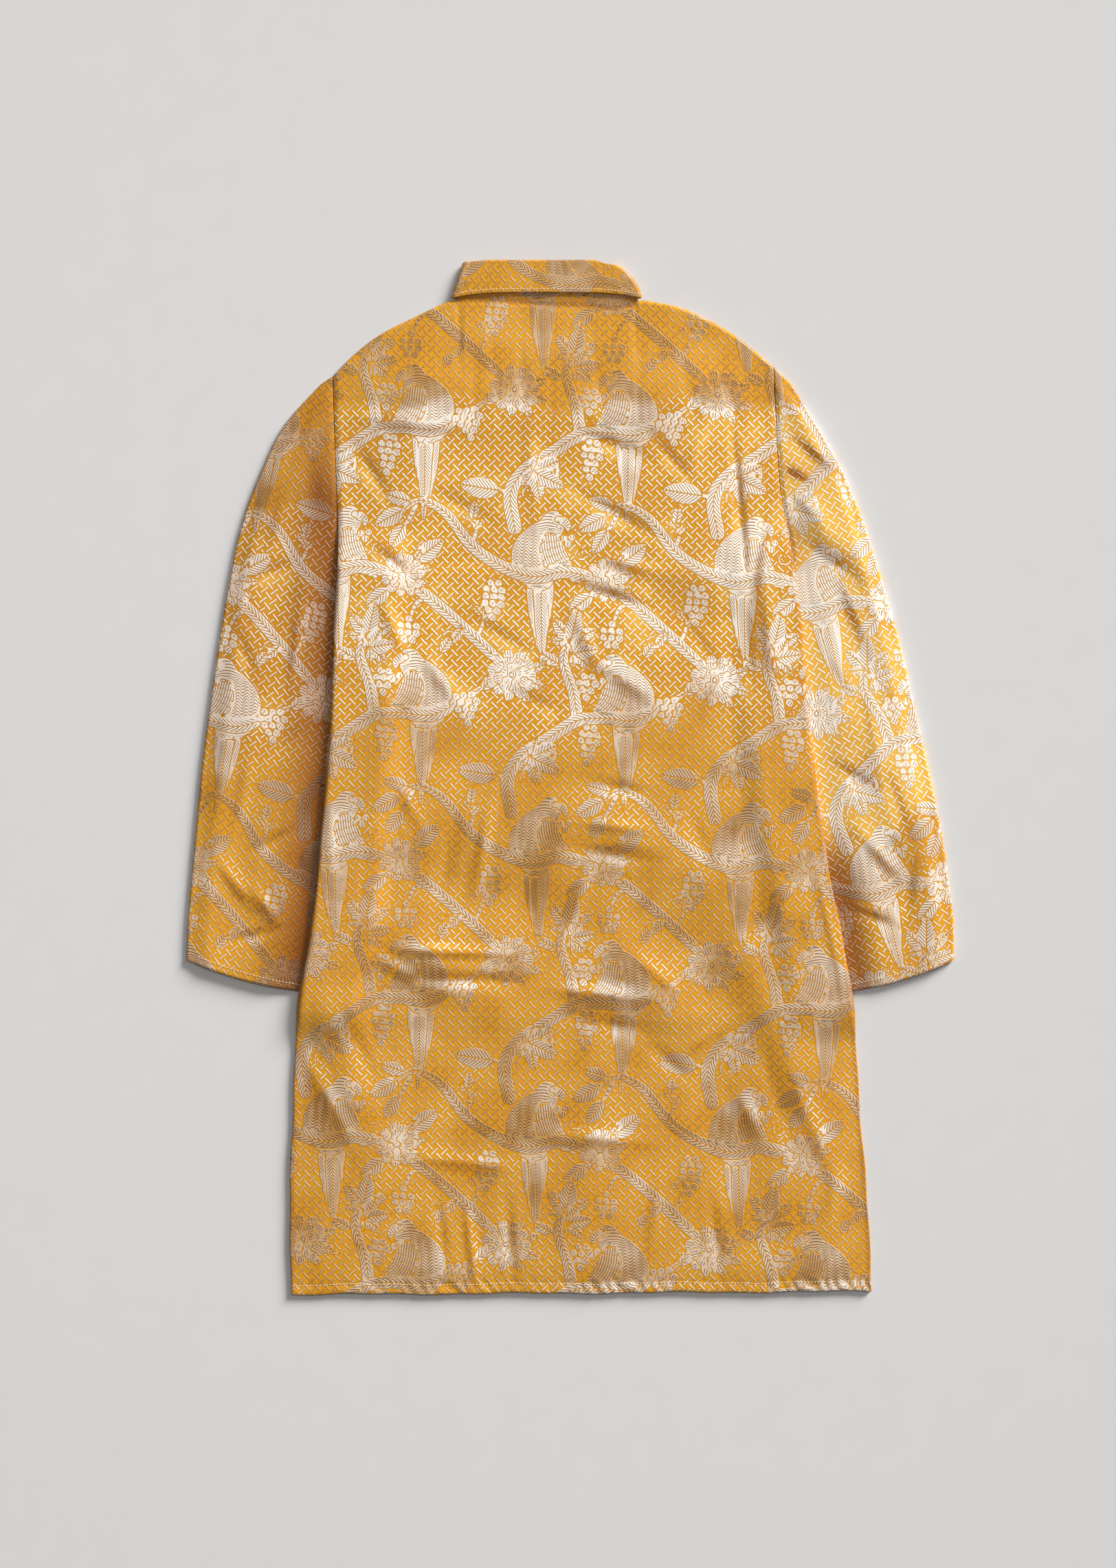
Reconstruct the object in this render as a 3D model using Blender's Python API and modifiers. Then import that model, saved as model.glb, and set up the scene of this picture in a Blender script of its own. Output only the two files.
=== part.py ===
"""A child's long brocade kurta, laid flat with its back upward.

Metres, +Z up, the collar towards +Y. It rests on z = 0 on its front panel and sleeves.
Places on the cloth are given as "down", the distance below the collar's top edge, and
"across", the distance from the garment's centre line, positive towards +X.
"""

import math
from collections import namedtuple

import bmesh
import bpy
from mathutils import Vector

MM = 0.001

# Cloth and layers
WALL = 1.2 * MM  # brocade with its backing
GAP = 0.3 * MM  # between pieces that are sewn or lie together
FRONT_TOP = WALL  # upper face of the front panel where it lies on the ground

# The whole garment
LENGTH = 704 * MM  # collar top to hem
CENTRE_LEFT = 17.06 * MM  # the centre line starts this far left of the middle
LEAN = 0.0352  # and moves this much to the right for each unit down
HEM_LIFT = 2.3 * MM  # the right end of the hem is this much higher than the left

# Half widths of the body from its centre line, down the side edges
Body = namedtuple("Body", "down left right")
BODY = [
    Body(70 * MM, 147.3 * MM, 153.0 * MM),
    Body(150 * MM, 147.3 * MM, 154.3 * MM),
    Body(195 * MM, 147.5 * MM, 160.2 * MM),
    Body(250 * MM, 152.5 * MM, 166.2 * MM),
    Body(325 * MM, 158.2 * MM, 168.5 * MM),
    Body(400 * MM, 167.7 * MM, 177.0 * MM),
    Body(450 * MM, 174.5 * MM, 184.3 * MM),
    Body(510 * MM, 186.0 * MM, 191.8 * MM),
    Body(590 * MM, 192.9 * MM, 194.6 * MM),
    Body(704 * MM, 198.0 * MM, 198.2 * MM),
]
UNDERARM = 215 * MM  # down to the lower end of the armhole
SLIT = 511 * MM  # down to the upper end of the side slits
CHEST = 230 * MM  # a level row of both panels, just below the placket

# Down to the shoulder line at distances from the centre; the right shoulder lies higher
Shoulder = namedtuple("Shoulder", "across left right")
SHOULDER = [
    Shoulder(66 * MM, 27.5 * MM, 27.0 * MM),
    Shoulder(75 * MM, 31.4 * MM, 28.6 * MM),
    Shoulder(90 * MM, 38.5 * MM, 31.8 * MM),
    Shoulder(105 * MM, 45.6 * MM, 37.9 * MM),
    Shoulder(118 * MM, 53.0 * MM, 45.2 * MM),
    Shoulder(130 * MM, 62.3 * MM, 53.0 * MM),
    Shoulder(140 * MM, 71.4 * MM, 61.2 * MM),
    Shoulder(147.3 * MM, 79.0 * MM, 67.6 * MM),
    Shoulder(153 * MM, 84.0 * MM, 72.4 * MM),
]

# Collar band
BAND_WALL = 2 * MM  # two layers and their stiffening
COLLAR_BASE = 22.4 * MM  # down to the band's lower edge at the centre back: the band's height
COLLAR_BASE_DIP = 3.6 * MM  # and this much further down at its corners
COLLAR_FOLD = 3.05 * MM  # outer radius of the fold at each corner
NECK_HALF = 62 * MM  # half width of the neck
COLLAR_TOP_LEFT = 55.5 * MM  # half widths of the folded band at its upper edge
COLLAR_TOP_RIGHT = 47.5 * MM
COLLAR_ROUND_LEFT = 1.0  # 1 for a straight side, and more for one that rounds off at the top
COLLAR_ROUND_RIGHT = 1.8
FRONT_DROP = 55 * MM  # the front of the neck is this much lower
COLLAR_SLIT = 1.2 * MM  # half of the opening at the centre front
COLLAR_FRONT_STEPS = 6  # faces along each front half of the band, and of the neck curve
NECK_TUCK = 5.4 * MM  # the back panel reaches this far under the band

# Sleeves: half widths from the garment's centre line, down the outer fold
Sleeve = namedtuple("Sleeve", "down left right")
SLEEVE = [
    Sleeve(84 * MM, 155.5 * MM, 164.4 * MM),
    Sleeve(112 * MM, 181.2 * MM, 180.7 * MM),
    Sleeve(140 * MM, 196.1 * MM, 196.0 * MM),
    Sleeve(168 * MM, 208.3 * MM, 206.9 * MM),
    Sleeve(196 * MM, 217.2 * MM, 215.8 * MM),
    Sleeve(252 * MM, 229.3 * MM, 230.2 * MM),
    Sleeve(336 * MM, 244.2 * MM, 247.0 * MM),
    Sleeve(392 * MM, 251.7 * MM, 256.4 * MM),
    Sleeve(448 * MM, 258.7 * MM, 262.0 * MM),
    Sleeve(476 * MM, 260.8 * MM, 261.4 * MM),
]
CUFF_INNER = 499 * MM  # down to the inner corner of the cuff, under the body
CUFF_BOW = 5 * MM  # the cuff's edge is this much rounded
TUCKED = 23 * MM  # width of the sleeve that lies under the body's edge
TUCK_START = 95 * MM  # the length below the underarm in which it grows
SLEEVE_FOLD = 1.7 * MM  # outer radius of the fold along the outside
TUCKED_FOLD = 1.35 * MM  # outer radius of the fold under the body
SLEEVE_LOFT = 2.0 * MM  # height of the upper layer over the folds
SEAM_LOFT = 1.5 * MM  # and at the armhole seam
CLEAR = 4 * MM  # it starts to rise this far outside the body's edge
SEAM_SHARE = 0.1  # the part of its length in which the sleeve takes the armhole's curve
SLEEVE_LENGTH_STEPS = 22
SHOULDER_DENSE = 1.35  # above 1, the sleeve's sections lie closer together near the shoulder
SLEEVE_TOP_STEPS = 12
SLEEVE_UNDER_STEPS = 4
SLEEVE_FOLD_STEPS = 4

# Heights of the back panel's upper face over the front panel
RIM = 2.7 * MM  # radius of the rolled edge at the side seams and shoulders
RIM_BASE = 0.7 * MM  # the rolled edge starts this far up, so that its inner face clears the front
RIM_STEPS = (0, 0.8 * MM, 2.7 * MM, 7 * MM)  # distances of the outermost points from the edge
SLIT_EDGE = 1.7 * MM  # height of the free edges at the slits and the hem
NECK_EDGE = 2.2 * MM  # height of the edge under the collar
LIFT = 3.0 * MM  # the front panel's edge lies this high, over the sleeve
LIFT_FLAT = 34 * MM  # the edge strip that lies over the sleeve
LIFT_SLOPE = 20 * MM  # the strip in which it comes down to the ground

# The panel stands this much higher in its middle, over the collar and the placket under it
Loft = namedtuple("Loft", "down height")
LOFT = [
    Loft(20 * MM, 0.0 * MM),
    Loft(60 * MM, 2.2 * MM),
    Loft(98 * MM, 4.0 * MM),
    Loft(150 * MM, 3.0 * MM),
    Loft(250 * MM, 1.8 * MM),
    Loft(380 * MM, 1.2 * MM),
    Loft(500 * MM, 0.8 * MM),
    Loft(620 * MM, 0.5 * MM),
    Loft(704 * MM, 0.2 * MM),
]

# The largest folds: ridges are above zero and troughs below; turn is from straight down
Fold = namedtuple("Fold", "across down turn length width height")
BACK_FOLDS = [
    Fold(-60 * MM, 92 * MM, 80, 70 * MM, 16 * MM, 0.9 * MM),
    Fold(70 * MM, 96 * MM, 100, 60 * MM, 15 * MM, 1.0 * MM),
    Fold(79 * MM, 236 * MM, 60, 45 * MM, 20 * MM, -1.4 * MM),
    Fold(128 * MM, 250 * MM, 4, 80 * MM, 12 * MM, -1.5 * MM),
    Fold(-112 * MM, 300 * MM, -8, 90 * MM, 18 * MM, 1.2 * MM),
    Fold(-40 * MM, 350 * MM, 70, 80 * MM, 22 * MM, -1.1 * MM),
    Fold(45 * MM, 390 * MM, 65, 100 * MM, 20 * MM, 1.3 * MM),
    Fold(-12 * MM, 445 * MM, 75, 110 * MM, 26 * MM, -1.5 * MM),
    Fold(-95 * MM, 478 * MM, 60, 50 * MM, 18 * MM, 1.3 * MM),
    Fold(52 * MM, 490 * MM, 40, 55 * MM, 18 * MM, 1.6 * MM),
    Fold(132 * MM, 500 * MM, 20, 60 * MM, 16 * MM, 1.8 * MM),
    Fold(105 * MM, 585 * MM, 10, 80 * MM, 18 * MM, -1.0 * MM),
    Fold(-150 * MM, 560 * MM, 15, 70 * MM, 18 * MM, 1.4 * MM),
    Fold(10 * MM, 620 * MM, -8, 80 * MM, 20 * MM, 1.2 * MM),
    Fold(-75 * MM, 630 * MM, 5, 70 * MM, 18 * MM, -0.8 * MM),
]
SLEEVE_FOLDS = [
    Fold(-175 * MM, 150 * MM, -35, 40 * MM, 12 * MM, 1.1 * MM),
    Fold(-190 * MM, 232 * MM, -20, 60 * MM, 13 * MM, -1.3 * MM),
    Fold(-208 * MM, 300 * MM, -12, 60 * MM, 14 * MM, 1.4 * MM),
    Fold(-222 * MM, 405 * MM, -10, 60 * MM, 12 * MM, -1.0 * MM),
    Fold(172 * MM, 132 * MM, 45, 30 * MM, 11 * MM, -1.5 * MM),
    Fold(184 * MM, 185 * MM, 50, 32 * MM, 11 * MM, 1.4 * MM),
    Fold(200 * MM, 262 * MM, 15, 60 * MM, 14 * MM, -1.3 * MM),
    Fold(218 * MM, 345 * MM, 12, 60 * MM, 14 * MM, 1.5 * MM),
    Fold(226 * MM, 425 * MM, 8, 50 * MM, 12 * MM, -1.0 * MM),
]

# Front opening, hidden under the garment
BOX_HALF = 13 * MM  # half width of the opening cut in the front panel
STRIP_HALF = 15 * MM  # half width of the placket strips, sewn inside the box
STRIP_END = 6 * MM  # the strips reach this far below the box
STRIP_HEIGHT = 1.9 * MM  # lower face of the outer strip
BUTTONS = 4
BUTTON_WIDTH = 11.5 * MM
BUTTON_THICKNESS = 1.6 * MM
BUTTON_SPACING = 36 * MM
FIRST_BUTTON = 20 * MM  # below the front neck

BROCADE = (0.74, 0.44, 0.06)
BUTTON_COLOUR = (0.55, 0.33, 0.10)


def smooth(x):
    """0 below 0, 1 above 1, and a soft step between."""
    x = min(max(x, 0.0), 1.0)
    return x * x * (3 - 2 * x)


def read(table, column, at):
    """A column of the table at a place in its first column, on a smooth curve through the rows."""
    places = [row[0] for row in table]
    values = [getattr(row, column) for row in table]
    at = min(max(at, places[0]), places[-1])
    i = max(k for k in range(len(places) - 1) if places[k] <= at)

    def slope(k):
        low, high = max(k - 1, 0), min(k + 1, len(places) - 1)
        return (values[high] - values[low]) / (places[high] - places[low])

    step = places[i + 1] - places[i]
    t = (at - places[i]) / step
    start = values[i] * (1 + 2 * t) * (1 - t) ** 2 + slope(i) * step * t * (1 - t) ** 2
    end = values[i + 1] * t * t * (3 - 2 * t) - slope(i + 1) * step * t * t * (1 - t)
    return start + end


def side_of(across):
    return "left" if across < 0 else "right"


def place(across, down, height):
    """World position of a place on the garment."""
    x = across + LEAN * down - CENTRE_LEFT
    return Vector((x, LENGTH / 2 - down, height))


def body_edge(side, down):
    return read(BODY, side, down)


def folds_at(folds, across, down):
    """Height of the folds that pass a place."""
    total = 0.0
    for fold in folds:
        turn = math.radians(fold.turn)
        right = across - fold.across
        below = down - fold.down
        along = (below * math.cos(turn) + right * math.sin(turn)) / fold.length
        beside = (right * math.cos(turn) - below * math.sin(turn)) / fold.width
        total += fold.height * math.exp(-along * along - beside * beside)
    return total


def front_lift(across, down):
    """Height of the front panel's lower face: its edge lies over the tucked sleeve."""
    inside = body_edge(side_of(across), down) - abs(across)
    edge = 1 - smooth((inside - LIFT_FLAT) / LIFT_SLOPE)
    begins = smooth((down - UNDERARM + 40 * MM) / (30 * MM))
    ends = 1 - smooth((down - CUFF_INNER - 7 * MM) / (30 * MM))
    return LIFT * edge * begins * ends


def back_height(across, down, below_top):
    """Height of the back panel's upper face, below_top from its upper edge."""
    side = side_of(across)
    inside = max(body_edge(side, down) - abs(across), 0.0)
    seam = smooth((down - UNDERARM + 12 * MM) / (12 * MM)) * (1 - smooth((down - SLIT) / (20 * MM)))
    slit = smooth((down - SLIT) / (25 * MM))
    hem = smooth((down - LENGTH + 25 * MM) / (25 * MM))

    def roll(distance):
        return math.sqrt(1 - (1 - min(distance / RIM, 1.0)) ** 2)

    rise = RIM * (1 - seam * (1 - roll(inside))) + RIM_BASE * seam
    rise -= slit * (RIM - SLIT_EDGE) * (1 - smooth(inside / (25 * MM)))
    rise -= hem * (rise - SLIT_EDGE) * smooth(inside / (3 * MM))
    if abs(across) > NECK_HALF:
        rise = (rise - RIM_BASE) * roll(below_top) + RIM_BASE
    else:
        rise -= (rise - NECK_EDGE) * (1 - smooth(below_top / (30 * MM)))
    calm = smooth(inside / (60 * MM)) * smooth(below_top / (50 * MM))
    loft = read(LOFT, "height", down) * calm
    folds = folds_at(BACK_FOLDS, across, down)
    folds *= smooth(inside / (20 * MM)) * smooth(below_top / (25 * MM)) * (1 - 0.6 * hem)
    return front_lift(across, down) + FRONT_TOP + GAP + rise + loft + folds


def shoulder_line(across):
    return read(SHOULDER, side_of(across), abs(across))


def back_top(across):
    """Down to the back panel's upper edge."""
    if abs(across) > SHOULDER[0].across:
        return shoulder_line(across)
    tucked = COLLAR_BASE - NECK_TUCK
    corner = SHOULDER[0].left
    return tucked + (corner - tucked) * smooth((abs(across) - 56 * MM) / (4 * MM))


def front_top(across):
    """Down to the front panel's upper edge: the shoulder, and the neck curve round the collar."""
    if abs(across) > SHOULDER[0].across:
        return shoulder_line(across)
    share = min(abs(across) / (NECK_HALF + 2 * GAP), 1.0)
    neck = (FRONT_DROP + 2 * GAP) * math.sqrt(1 - share * share)
    return max(COLLAR_BASE + COLLAR_BASE_DIP + neck, SHOULDER[0].left)


def hem_line(across):
    return LENGTH - HEM_LIFT * (across + BODY[-1].left) / (BODY[-1].left + BODY[-1].right)


def panel_place(column, row, top):
    """Across, down and the distance below the upper edge of a panel's point. A column is a share of
    the half width and a fixed distance that is added to it. A row is a share, 0 at the upper edge,
    1 at the level chest row and 2 at the hem, and a fixed distance below the upper edge."""
    share, fixed = column
    side = side_of(share or fixed)
    start = top(share * body_edge(side, BODY[0].down) + fixed)
    part, below = row
    if part <= 1:
        down = start + below + (CHEST - start - below) * part
    else:
        down = CHEST + (hem_line(share * BODY[-1].left + fixed) - CHEST) * (part - 1)
    return share * body_edge(side, down) + fixed, down, down - start


def both_sides(right):
    return [(-share, -fixed) for share, fixed in reversed(right)] + right


def sheet(name, columns, rows, point, thickness=0, offset=0):
    """A grid of columns and rows with each vertex put at point(column, row). It is given a
    thickness, or else is a shell that closes on itself."""
    bm = bmesh.new()
    bmesh.ops.create_grid(bm, x_segments=len(columns) - 1, y_segments=len(rows) - 1, size=1)
    for vert in bm.verts:
        i = round((vert.co.x + 1) / 2 * (len(columns) - 1))
        j = round((1 - vert.co.y) / 2 * (len(rows) - 1))
        vert.co = point(columns[i], rows[j])
    bmesh.ops.remove_doubles(bm, verts=bm.verts, dist=0.001 * MM)
    obj = finish(name, bm)
    if thickness:
        wall = obj.modifiers.new("Wall", "SOLIDIFY")
        wall.thickness = thickness
        wall.offset = offset
        wall.use_even_offset = True
    return obj


def finish(name, bm):
    """A new object of the collection that holds this mesh."""
    mesh = bpy.data.meshes.new(name)
    bm.to_mesh(mesh)
    bm.free()
    mesh.shade_smooth()
    obj = bpy.data.objects.new(name, mesh)
    kurta.objects.link(obj)
    return obj


def give_material(obj, colour, roughness, metallic):
    material = bpy.data.materials.new(obj.name)
    material.use_nodes = True
    shader = material.node_tree.nodes["Principled BSDF"]
    shader.inputs["Base Color"].default_value = (*colour, 1)
    shader.inputs["Roughness"].default_value = roughness
    shader.inputs["Metallic"].default_value = metallic
    obj.data.materials.append(material)


def make_back():
    shares = [(k + 0.5) / 13 for k in range(13)]
    inner = [(share, -share * RIM_STEPS[-1]) for share in shares]
    columns = both_sides(inner + [(1, -step) for step in reversed(RIM_STEPS)])
    upper = [(0, inset) for inset in RIM_STEPS] + [(k / 13, RIM_STEPS[-1]) for k in range(1, 14)]
    lower = [(1 + k / 24, 0) for k in range(1, 25)]

    def point(column, row):
        across, down, below_top = panel_place(column, row, back_top)
        return place(across, down, back_height(across, down, below_top))

    return sheet("back", columns, upper + lower, point, WALL, -1)


def make_front():
    turns = [90 * k / COLLAR_FRONT_STEPS for k in range(COLLAR_FRONT_STEPS)]
    neck = [BOX_HALF] + [NECK_HALF * math.cos(math.radians(turn)) for turn in reversed(turns)]
    columns = [(0, across) for across in neck] + [(share, 0) for share in (0.5, 0.6, 0.7)]
    edge = (LIFT_FLAT + LIFT_SLOPE, LIFT_FLAT + LIFT_SLOPE / 2, LIFT_FLAT, LIFT_FLAT / 2, 0)
    columns = both_sides(columns[:-1] + [(1, -step) for step in edge])
    upper = [(k / 9, 0) for k in range(10)]
    cuff = 1 + (CUFF_INNER + 6 * MM - CHEST) / (LENGTH - CHEST)
    lower = [(1 + (cuff - 1) * k / 9, 0) for k in range(1, 10)]
    lower += [(cuff + (2 - cuff) * share, 0) for share in (0.07, 0.14, 0.35, 0.57, 0.79, 1)]

    def point(column, row):
        across, down, _ = panel_place(column, row, front_top)
        return place(across, down, front_lift(across, down))

    front = sheet("front", columns, upper + lower, point, WALL, 1)
    bm = bmesh.new()
    bm.from_mesh(front.data)
    box_end = LENGTH / 2 - CHEST
    centre_column = [face for face in bm.faces if face.calc_center_median().y > box_end]
    centre_column = [face for face in centre_column if spans_centre(face)]
    bmesh.ops.delete(bm, geom=centre_column, context="FACES")
    bm.to_mesh(front.data)
    bm.free()
    return front


def spans_centre(face):
    """Whether a face lies in the column over the garment's centre line."""
    middle = face.calc_center_median()
    centre = LEAN * (LENGTH / 2 - middle.y) - CENTRE_LEFT
    return abs(middle.x - centre) < BOX_HALF / 2


def sleeve_ring(side, share, inset):
    """Points round the flattened sleeve, share of the way from the armhole to the cuff. The outer
    face has no inset, and the inner face is inset by the wall."""
    sign = -1 if side == "left" else 1
    start = shoulder_line(sign * body_edge(side, BODY[0].down))
    outer_down = start + (SLEEVE[-1].down - start) * share
    inner_down = UNDERARM + (CUFF_INNER - UNDERARM) * share
    edge_start = body_edge(side, start) + GAP
    seam_start = Vector((edge_start, start))
    seam_end = Vector((body_edge(side, UNDERARM) + GAP, UNDERARM))
    if outer_down < SLEEVE[0].down:
        part = (outer_down - start) / (SLEEVE[0].down - start)
        outer_across = edge_start + (getattr(SLEEVE[0], side) - edge_start) * part
    else:
        outer_across = read(SLEEVE, side, outer_down)
    tuck = TUCKED * smooth((inner_down - UNDERARM - 5 * MM) / TUCK_START)
    outer = Vector((outer_across, outer_down))
    inner = Vector((body_edge(side, inner_down) + GAP - tuck, inner_down))
    width = (inner - outer).length
    flat = width - SLEEVE_FOLD - TUCKED_FOLD

    def at(distance, height):
        """The world place at a distance from the outer fold, the first ring on the armhole seam."""
        part = distance / width
        spot = outer.lerp(inner, part)
        spot.y += CUFF_BOW * 4 * part * (1 - part) * share * share
        chord = seam_start.lerp(seam_end, part)
        bend = body_edge(side, chord.y) + GAP - chord.x
        spot.x += bend * (1 - smooth(share / SEAM_SHARE))
        if height is None:
            height = sleeve_top(side, spot, distance) - inset
        return place(sign * spot.x, spot.y, height)

    def fold(centre, radius, direction):
        """Half a circle round a fold's centre, from its upper to its lower end or back."""
        for k in range(SLEEVE_FOLD_STEPS):
            turn = math.pi * k / SLEEVE_FOLD_STEPS
            reach = (radius - inset) * direction
            yield at(centre + reach * math.sin(turn), radius - reach * math.cos(turn))

    points = [at(width - TUCKED_FOLD - flat * k / SLEEVE_TOP_STEPS, None) for k in range(SLEEVE_TOP_STEPS)]
    points += fold(SLEEVE_FOLD, SLEEVE_FOLD, -1)
    points += [at(SLEEVE_FOLD + flat * k / SLEEVE_UNDER_STEPS, inset) for k in range(SLEEVE_UNDER_STEPS)]
    points += fold(width - TUCKED_FOLD, TUCKED_FOLD, 1)
    return points


def sleeve_top(side, spot, from_fold):
    """Height of the sleeve's upper layer: low where it lies under the body, and full outside it."""
    outside = spot.x - body_edge(side, spot.y)
    seam_loft = SEAM_LOFT * (1 - smooth((spot.y - 150 * MM) / (50 * MM)))
    free = smooth((outside - CLEAR) / (22 * MM))
    sign = -1 if side == "left" else 1
    folds = folds_at(SLEEVE_FOLDS, sign * spot.x, spot.y) * free
    raised = seam_loft + (SLEEVE_LOFT - seam_loft) * free
    base = 2 * (TUCKED_FOLD + (SLEEVE_FOLD - TUCKED_FOLD) * (1 - smooth(from_fold / (40 * MM))))
    return base + smooth((from_fold - SLEEVE_FOLD) / (14 * MM)) * (raised + folds)


def make_sleeve(side):
    shares = [(k / SLEEVE_LENGTH_STEPS) ** SHOULDER_DENSE for k in range(SLEEVE_LENGTH_STEPS + 1)]
    rings = [sleeve_ring(side, share, 0) for share in shares]
    rings += [sleeve_ring(side, share, WALL) for share in reversed(shares)]
    if side == "left":
        rings.reverse()
    around = len(rings[0])

    def point(column, row):
        return rings[row % len(rings)][column % around]

    return sheet("sleeve_" + side, range(around + 1), range(len(rings) + 1), point)


def collar_point(turn, rise):
    """A point on the collar's outer face. turn is 0 at the centre back, 1 at the start of a corner
    fold, 2 at its end and 3 at the centre front, and below zero on the left side; rise is 0 at the
    seam and 1 at the upper edge."""
    sign = math.copysign(1, turn)
    corner_top = COLLAR_TOP_LEFT if sign < 0 else COLLAR_TOP_RIGHT
    bow = COLLAR_ROUND_LEFT if sign < 0 else COLLAR_ROUND_RIGHT
    run = NECK_HALF + (corner_top - COLLAR_FOLD - NECK_HALF) * rise**bow
    part = abs(turn)
    angle = math.pi * min(max(part - 1, 0), 1)
    height = COLLAR_FOLD * (1 + math.cos(angle))
    across = run * min(part, 1) + COLLAR_FOLD * math.sin(angle)
    down = (COLLAR_BASE + COLLAR_BASE_DIP * min(part, 1) ** 4) * (1 - rise)
    if part > 2:
        sweep = math.pi / 2 * (part - 2)
        across = COLLAR_SLIT + (run - COLLAR_SLIT) * math.cos(sweep)
        down += FRONT_DROP * math.sin(sweep)
    return place(sign * across, down, height)


def make_collar():
    half = [(k + 0.5) / 8 for k in range(7)] + [1 + k / 6 for k in range(7)]
    half += [2 + k / COLLAR_FRONT_STEPS for k in range(1, COLLAR_FRONT_STEPS + 1)]
    turns = [-turn for turn in reversed(half)] + half
    return sheet("collar", turns, [1, 0.75, 0.5, 0.25, 0], collar_point, BAND_WALL, -1)


def make_strip(name, height):
    top = COLLAR_BASE + COLLAR_BASE_DIP + FRONT_DROP + 2 * GAP
    bottom = CHEST + STRIP_END

    def point(across, down):
        return place(across, down, height)

    return sheet(name, [-STRIP_HALF, 0, STRIP_HALF], [top, bottom], point, WALL, 1)


def make_button(number):
    neck = COLLAR_BASE + COLLAR_BASE_DIP + FRONT_DROP
    down = neck + FIRST_BUTTON + BUTTON_SPACING * (number - 1)
    bm = bmesh.new()
    bmesh.ops.create_cone(
        bm,
        cap_ends=True,
        segments=20,
        radius1=BUTTON_WIDTH / 2,
        radius2=BUTTON_WIDTH / 2,
        depth=BUTTON_THICKNESS,
    )
    obj = finish("button_" + str(number), bm)
    obj.data.set_sharp_from_angle(angle=math.radians(40))
    obj.location = place(0, down, BUTTON_THICKNESS / 2)
    return obj


for old in list(bpy.data.objects):
    bpy.data.objects.remove(old)
kurta = bpy.data.collections.new("kurta")
bpy.context.scene.collection.children.link(kurta)

cloth = [make_back(), make_front(), make_sleeve("left"), make_sleeve("right"), make_collar()]
cloth.append(make_strip("placket_outer", STRIP_HEIGHT))
cloth.append(make_strip("placket_under", STRIP_HEIGHT + WALL + GAP))
for piece in cloth:
    give_material(piece, BROCADE, 0.42, 0.3)
for number in range(1, BUTTONS + 1):
    give_material(make_button(number), BUTTON_COLOUR, 0.35, 0.0)
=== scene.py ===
import math
from collections import namedtuple

import bmesh
import bpy
import numpy as np
from mathutils import Matrix, Vector


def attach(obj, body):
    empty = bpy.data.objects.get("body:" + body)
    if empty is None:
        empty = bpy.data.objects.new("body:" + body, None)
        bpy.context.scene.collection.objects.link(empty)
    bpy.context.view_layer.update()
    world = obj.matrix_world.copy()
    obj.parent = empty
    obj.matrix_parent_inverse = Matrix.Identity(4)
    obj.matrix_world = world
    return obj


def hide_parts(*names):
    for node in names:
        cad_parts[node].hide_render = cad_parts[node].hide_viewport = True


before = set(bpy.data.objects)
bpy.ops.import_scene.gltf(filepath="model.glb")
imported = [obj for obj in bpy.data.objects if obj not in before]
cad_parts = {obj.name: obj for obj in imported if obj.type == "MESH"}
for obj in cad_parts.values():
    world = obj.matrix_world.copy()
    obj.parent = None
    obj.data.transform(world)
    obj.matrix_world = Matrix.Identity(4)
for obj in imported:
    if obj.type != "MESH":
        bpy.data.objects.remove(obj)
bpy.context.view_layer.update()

# The brocade: a gold silk and viscose satin, woven by the metre with a second, paler yarn that
# floats over it as small slanting dashes and as boughs, leaves, flowers, berries and parakeets.
# The figures are an old and common kind, drawn here for this cloth. All its lengths are in mm.
REPEAT_WIDE, REPEAT_LONG = 138, 194
HATCH_PITCH = 1.7  # the real floats lie about 1.2 mm apart, too close to show
DASH_WIDE, DASH_LONG = 6.9, 7.0  # spacing of the dashes across and along the cloth
DASH_LENGTH, DASH_THICK = 6.4, 0.9
PLAIN = 3.0  # the split of a figure that has no inner lines
FLOAT_REACH = 0.45  # the floats of a figure reach this far outside its outline


def through(places, values, at):
    """Values at places on a smooth curve through a row of points."""
    places, values = np.array(places, float), np.array(values, float)
    slopes = np.empty(len(values))
    slopes[1:-1] = (values[2:] - values[:-2]) / (places[2:] - places[:-2])
    slopes[0] = (values[1] - values[0]) / (places[1] - places[0])
    slopes[-1] = (values[-1] - values[-2]) / (places[-1] - places[-2])
    at = np.clip(at, places[0], places[-1])
    i = np.clip(np.searchsorted(places, at, side="right") - 1, 0, len(places) - 2)
    step = places[i + 1] - places[i]
    t = (at - places[i]) / step
    start = values[i] * (1 + 2 * t) * (1 - t) ** 2 + slopes[i] * step * t * (1 - t) ** 2
    return start + values[i + 1] * t * t * (3 - 2 * t) - slopes[i + 1] * step * t * t * (1 - t)


def smooth(x):
    """0 below 0, 1 above 1, and a soft step between."""
    x = np.clip(x, 0, 1)
    return x * x * (3 - 2 * x)


def turned(right, below, degrees):
    """Offsets seen in a frame that is turned clockwise."""
    c, s = math.cos(math.radians(degrees)), math.sin(math.radians(degrees))
    return right * c + below * s, below * c - right * s


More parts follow.
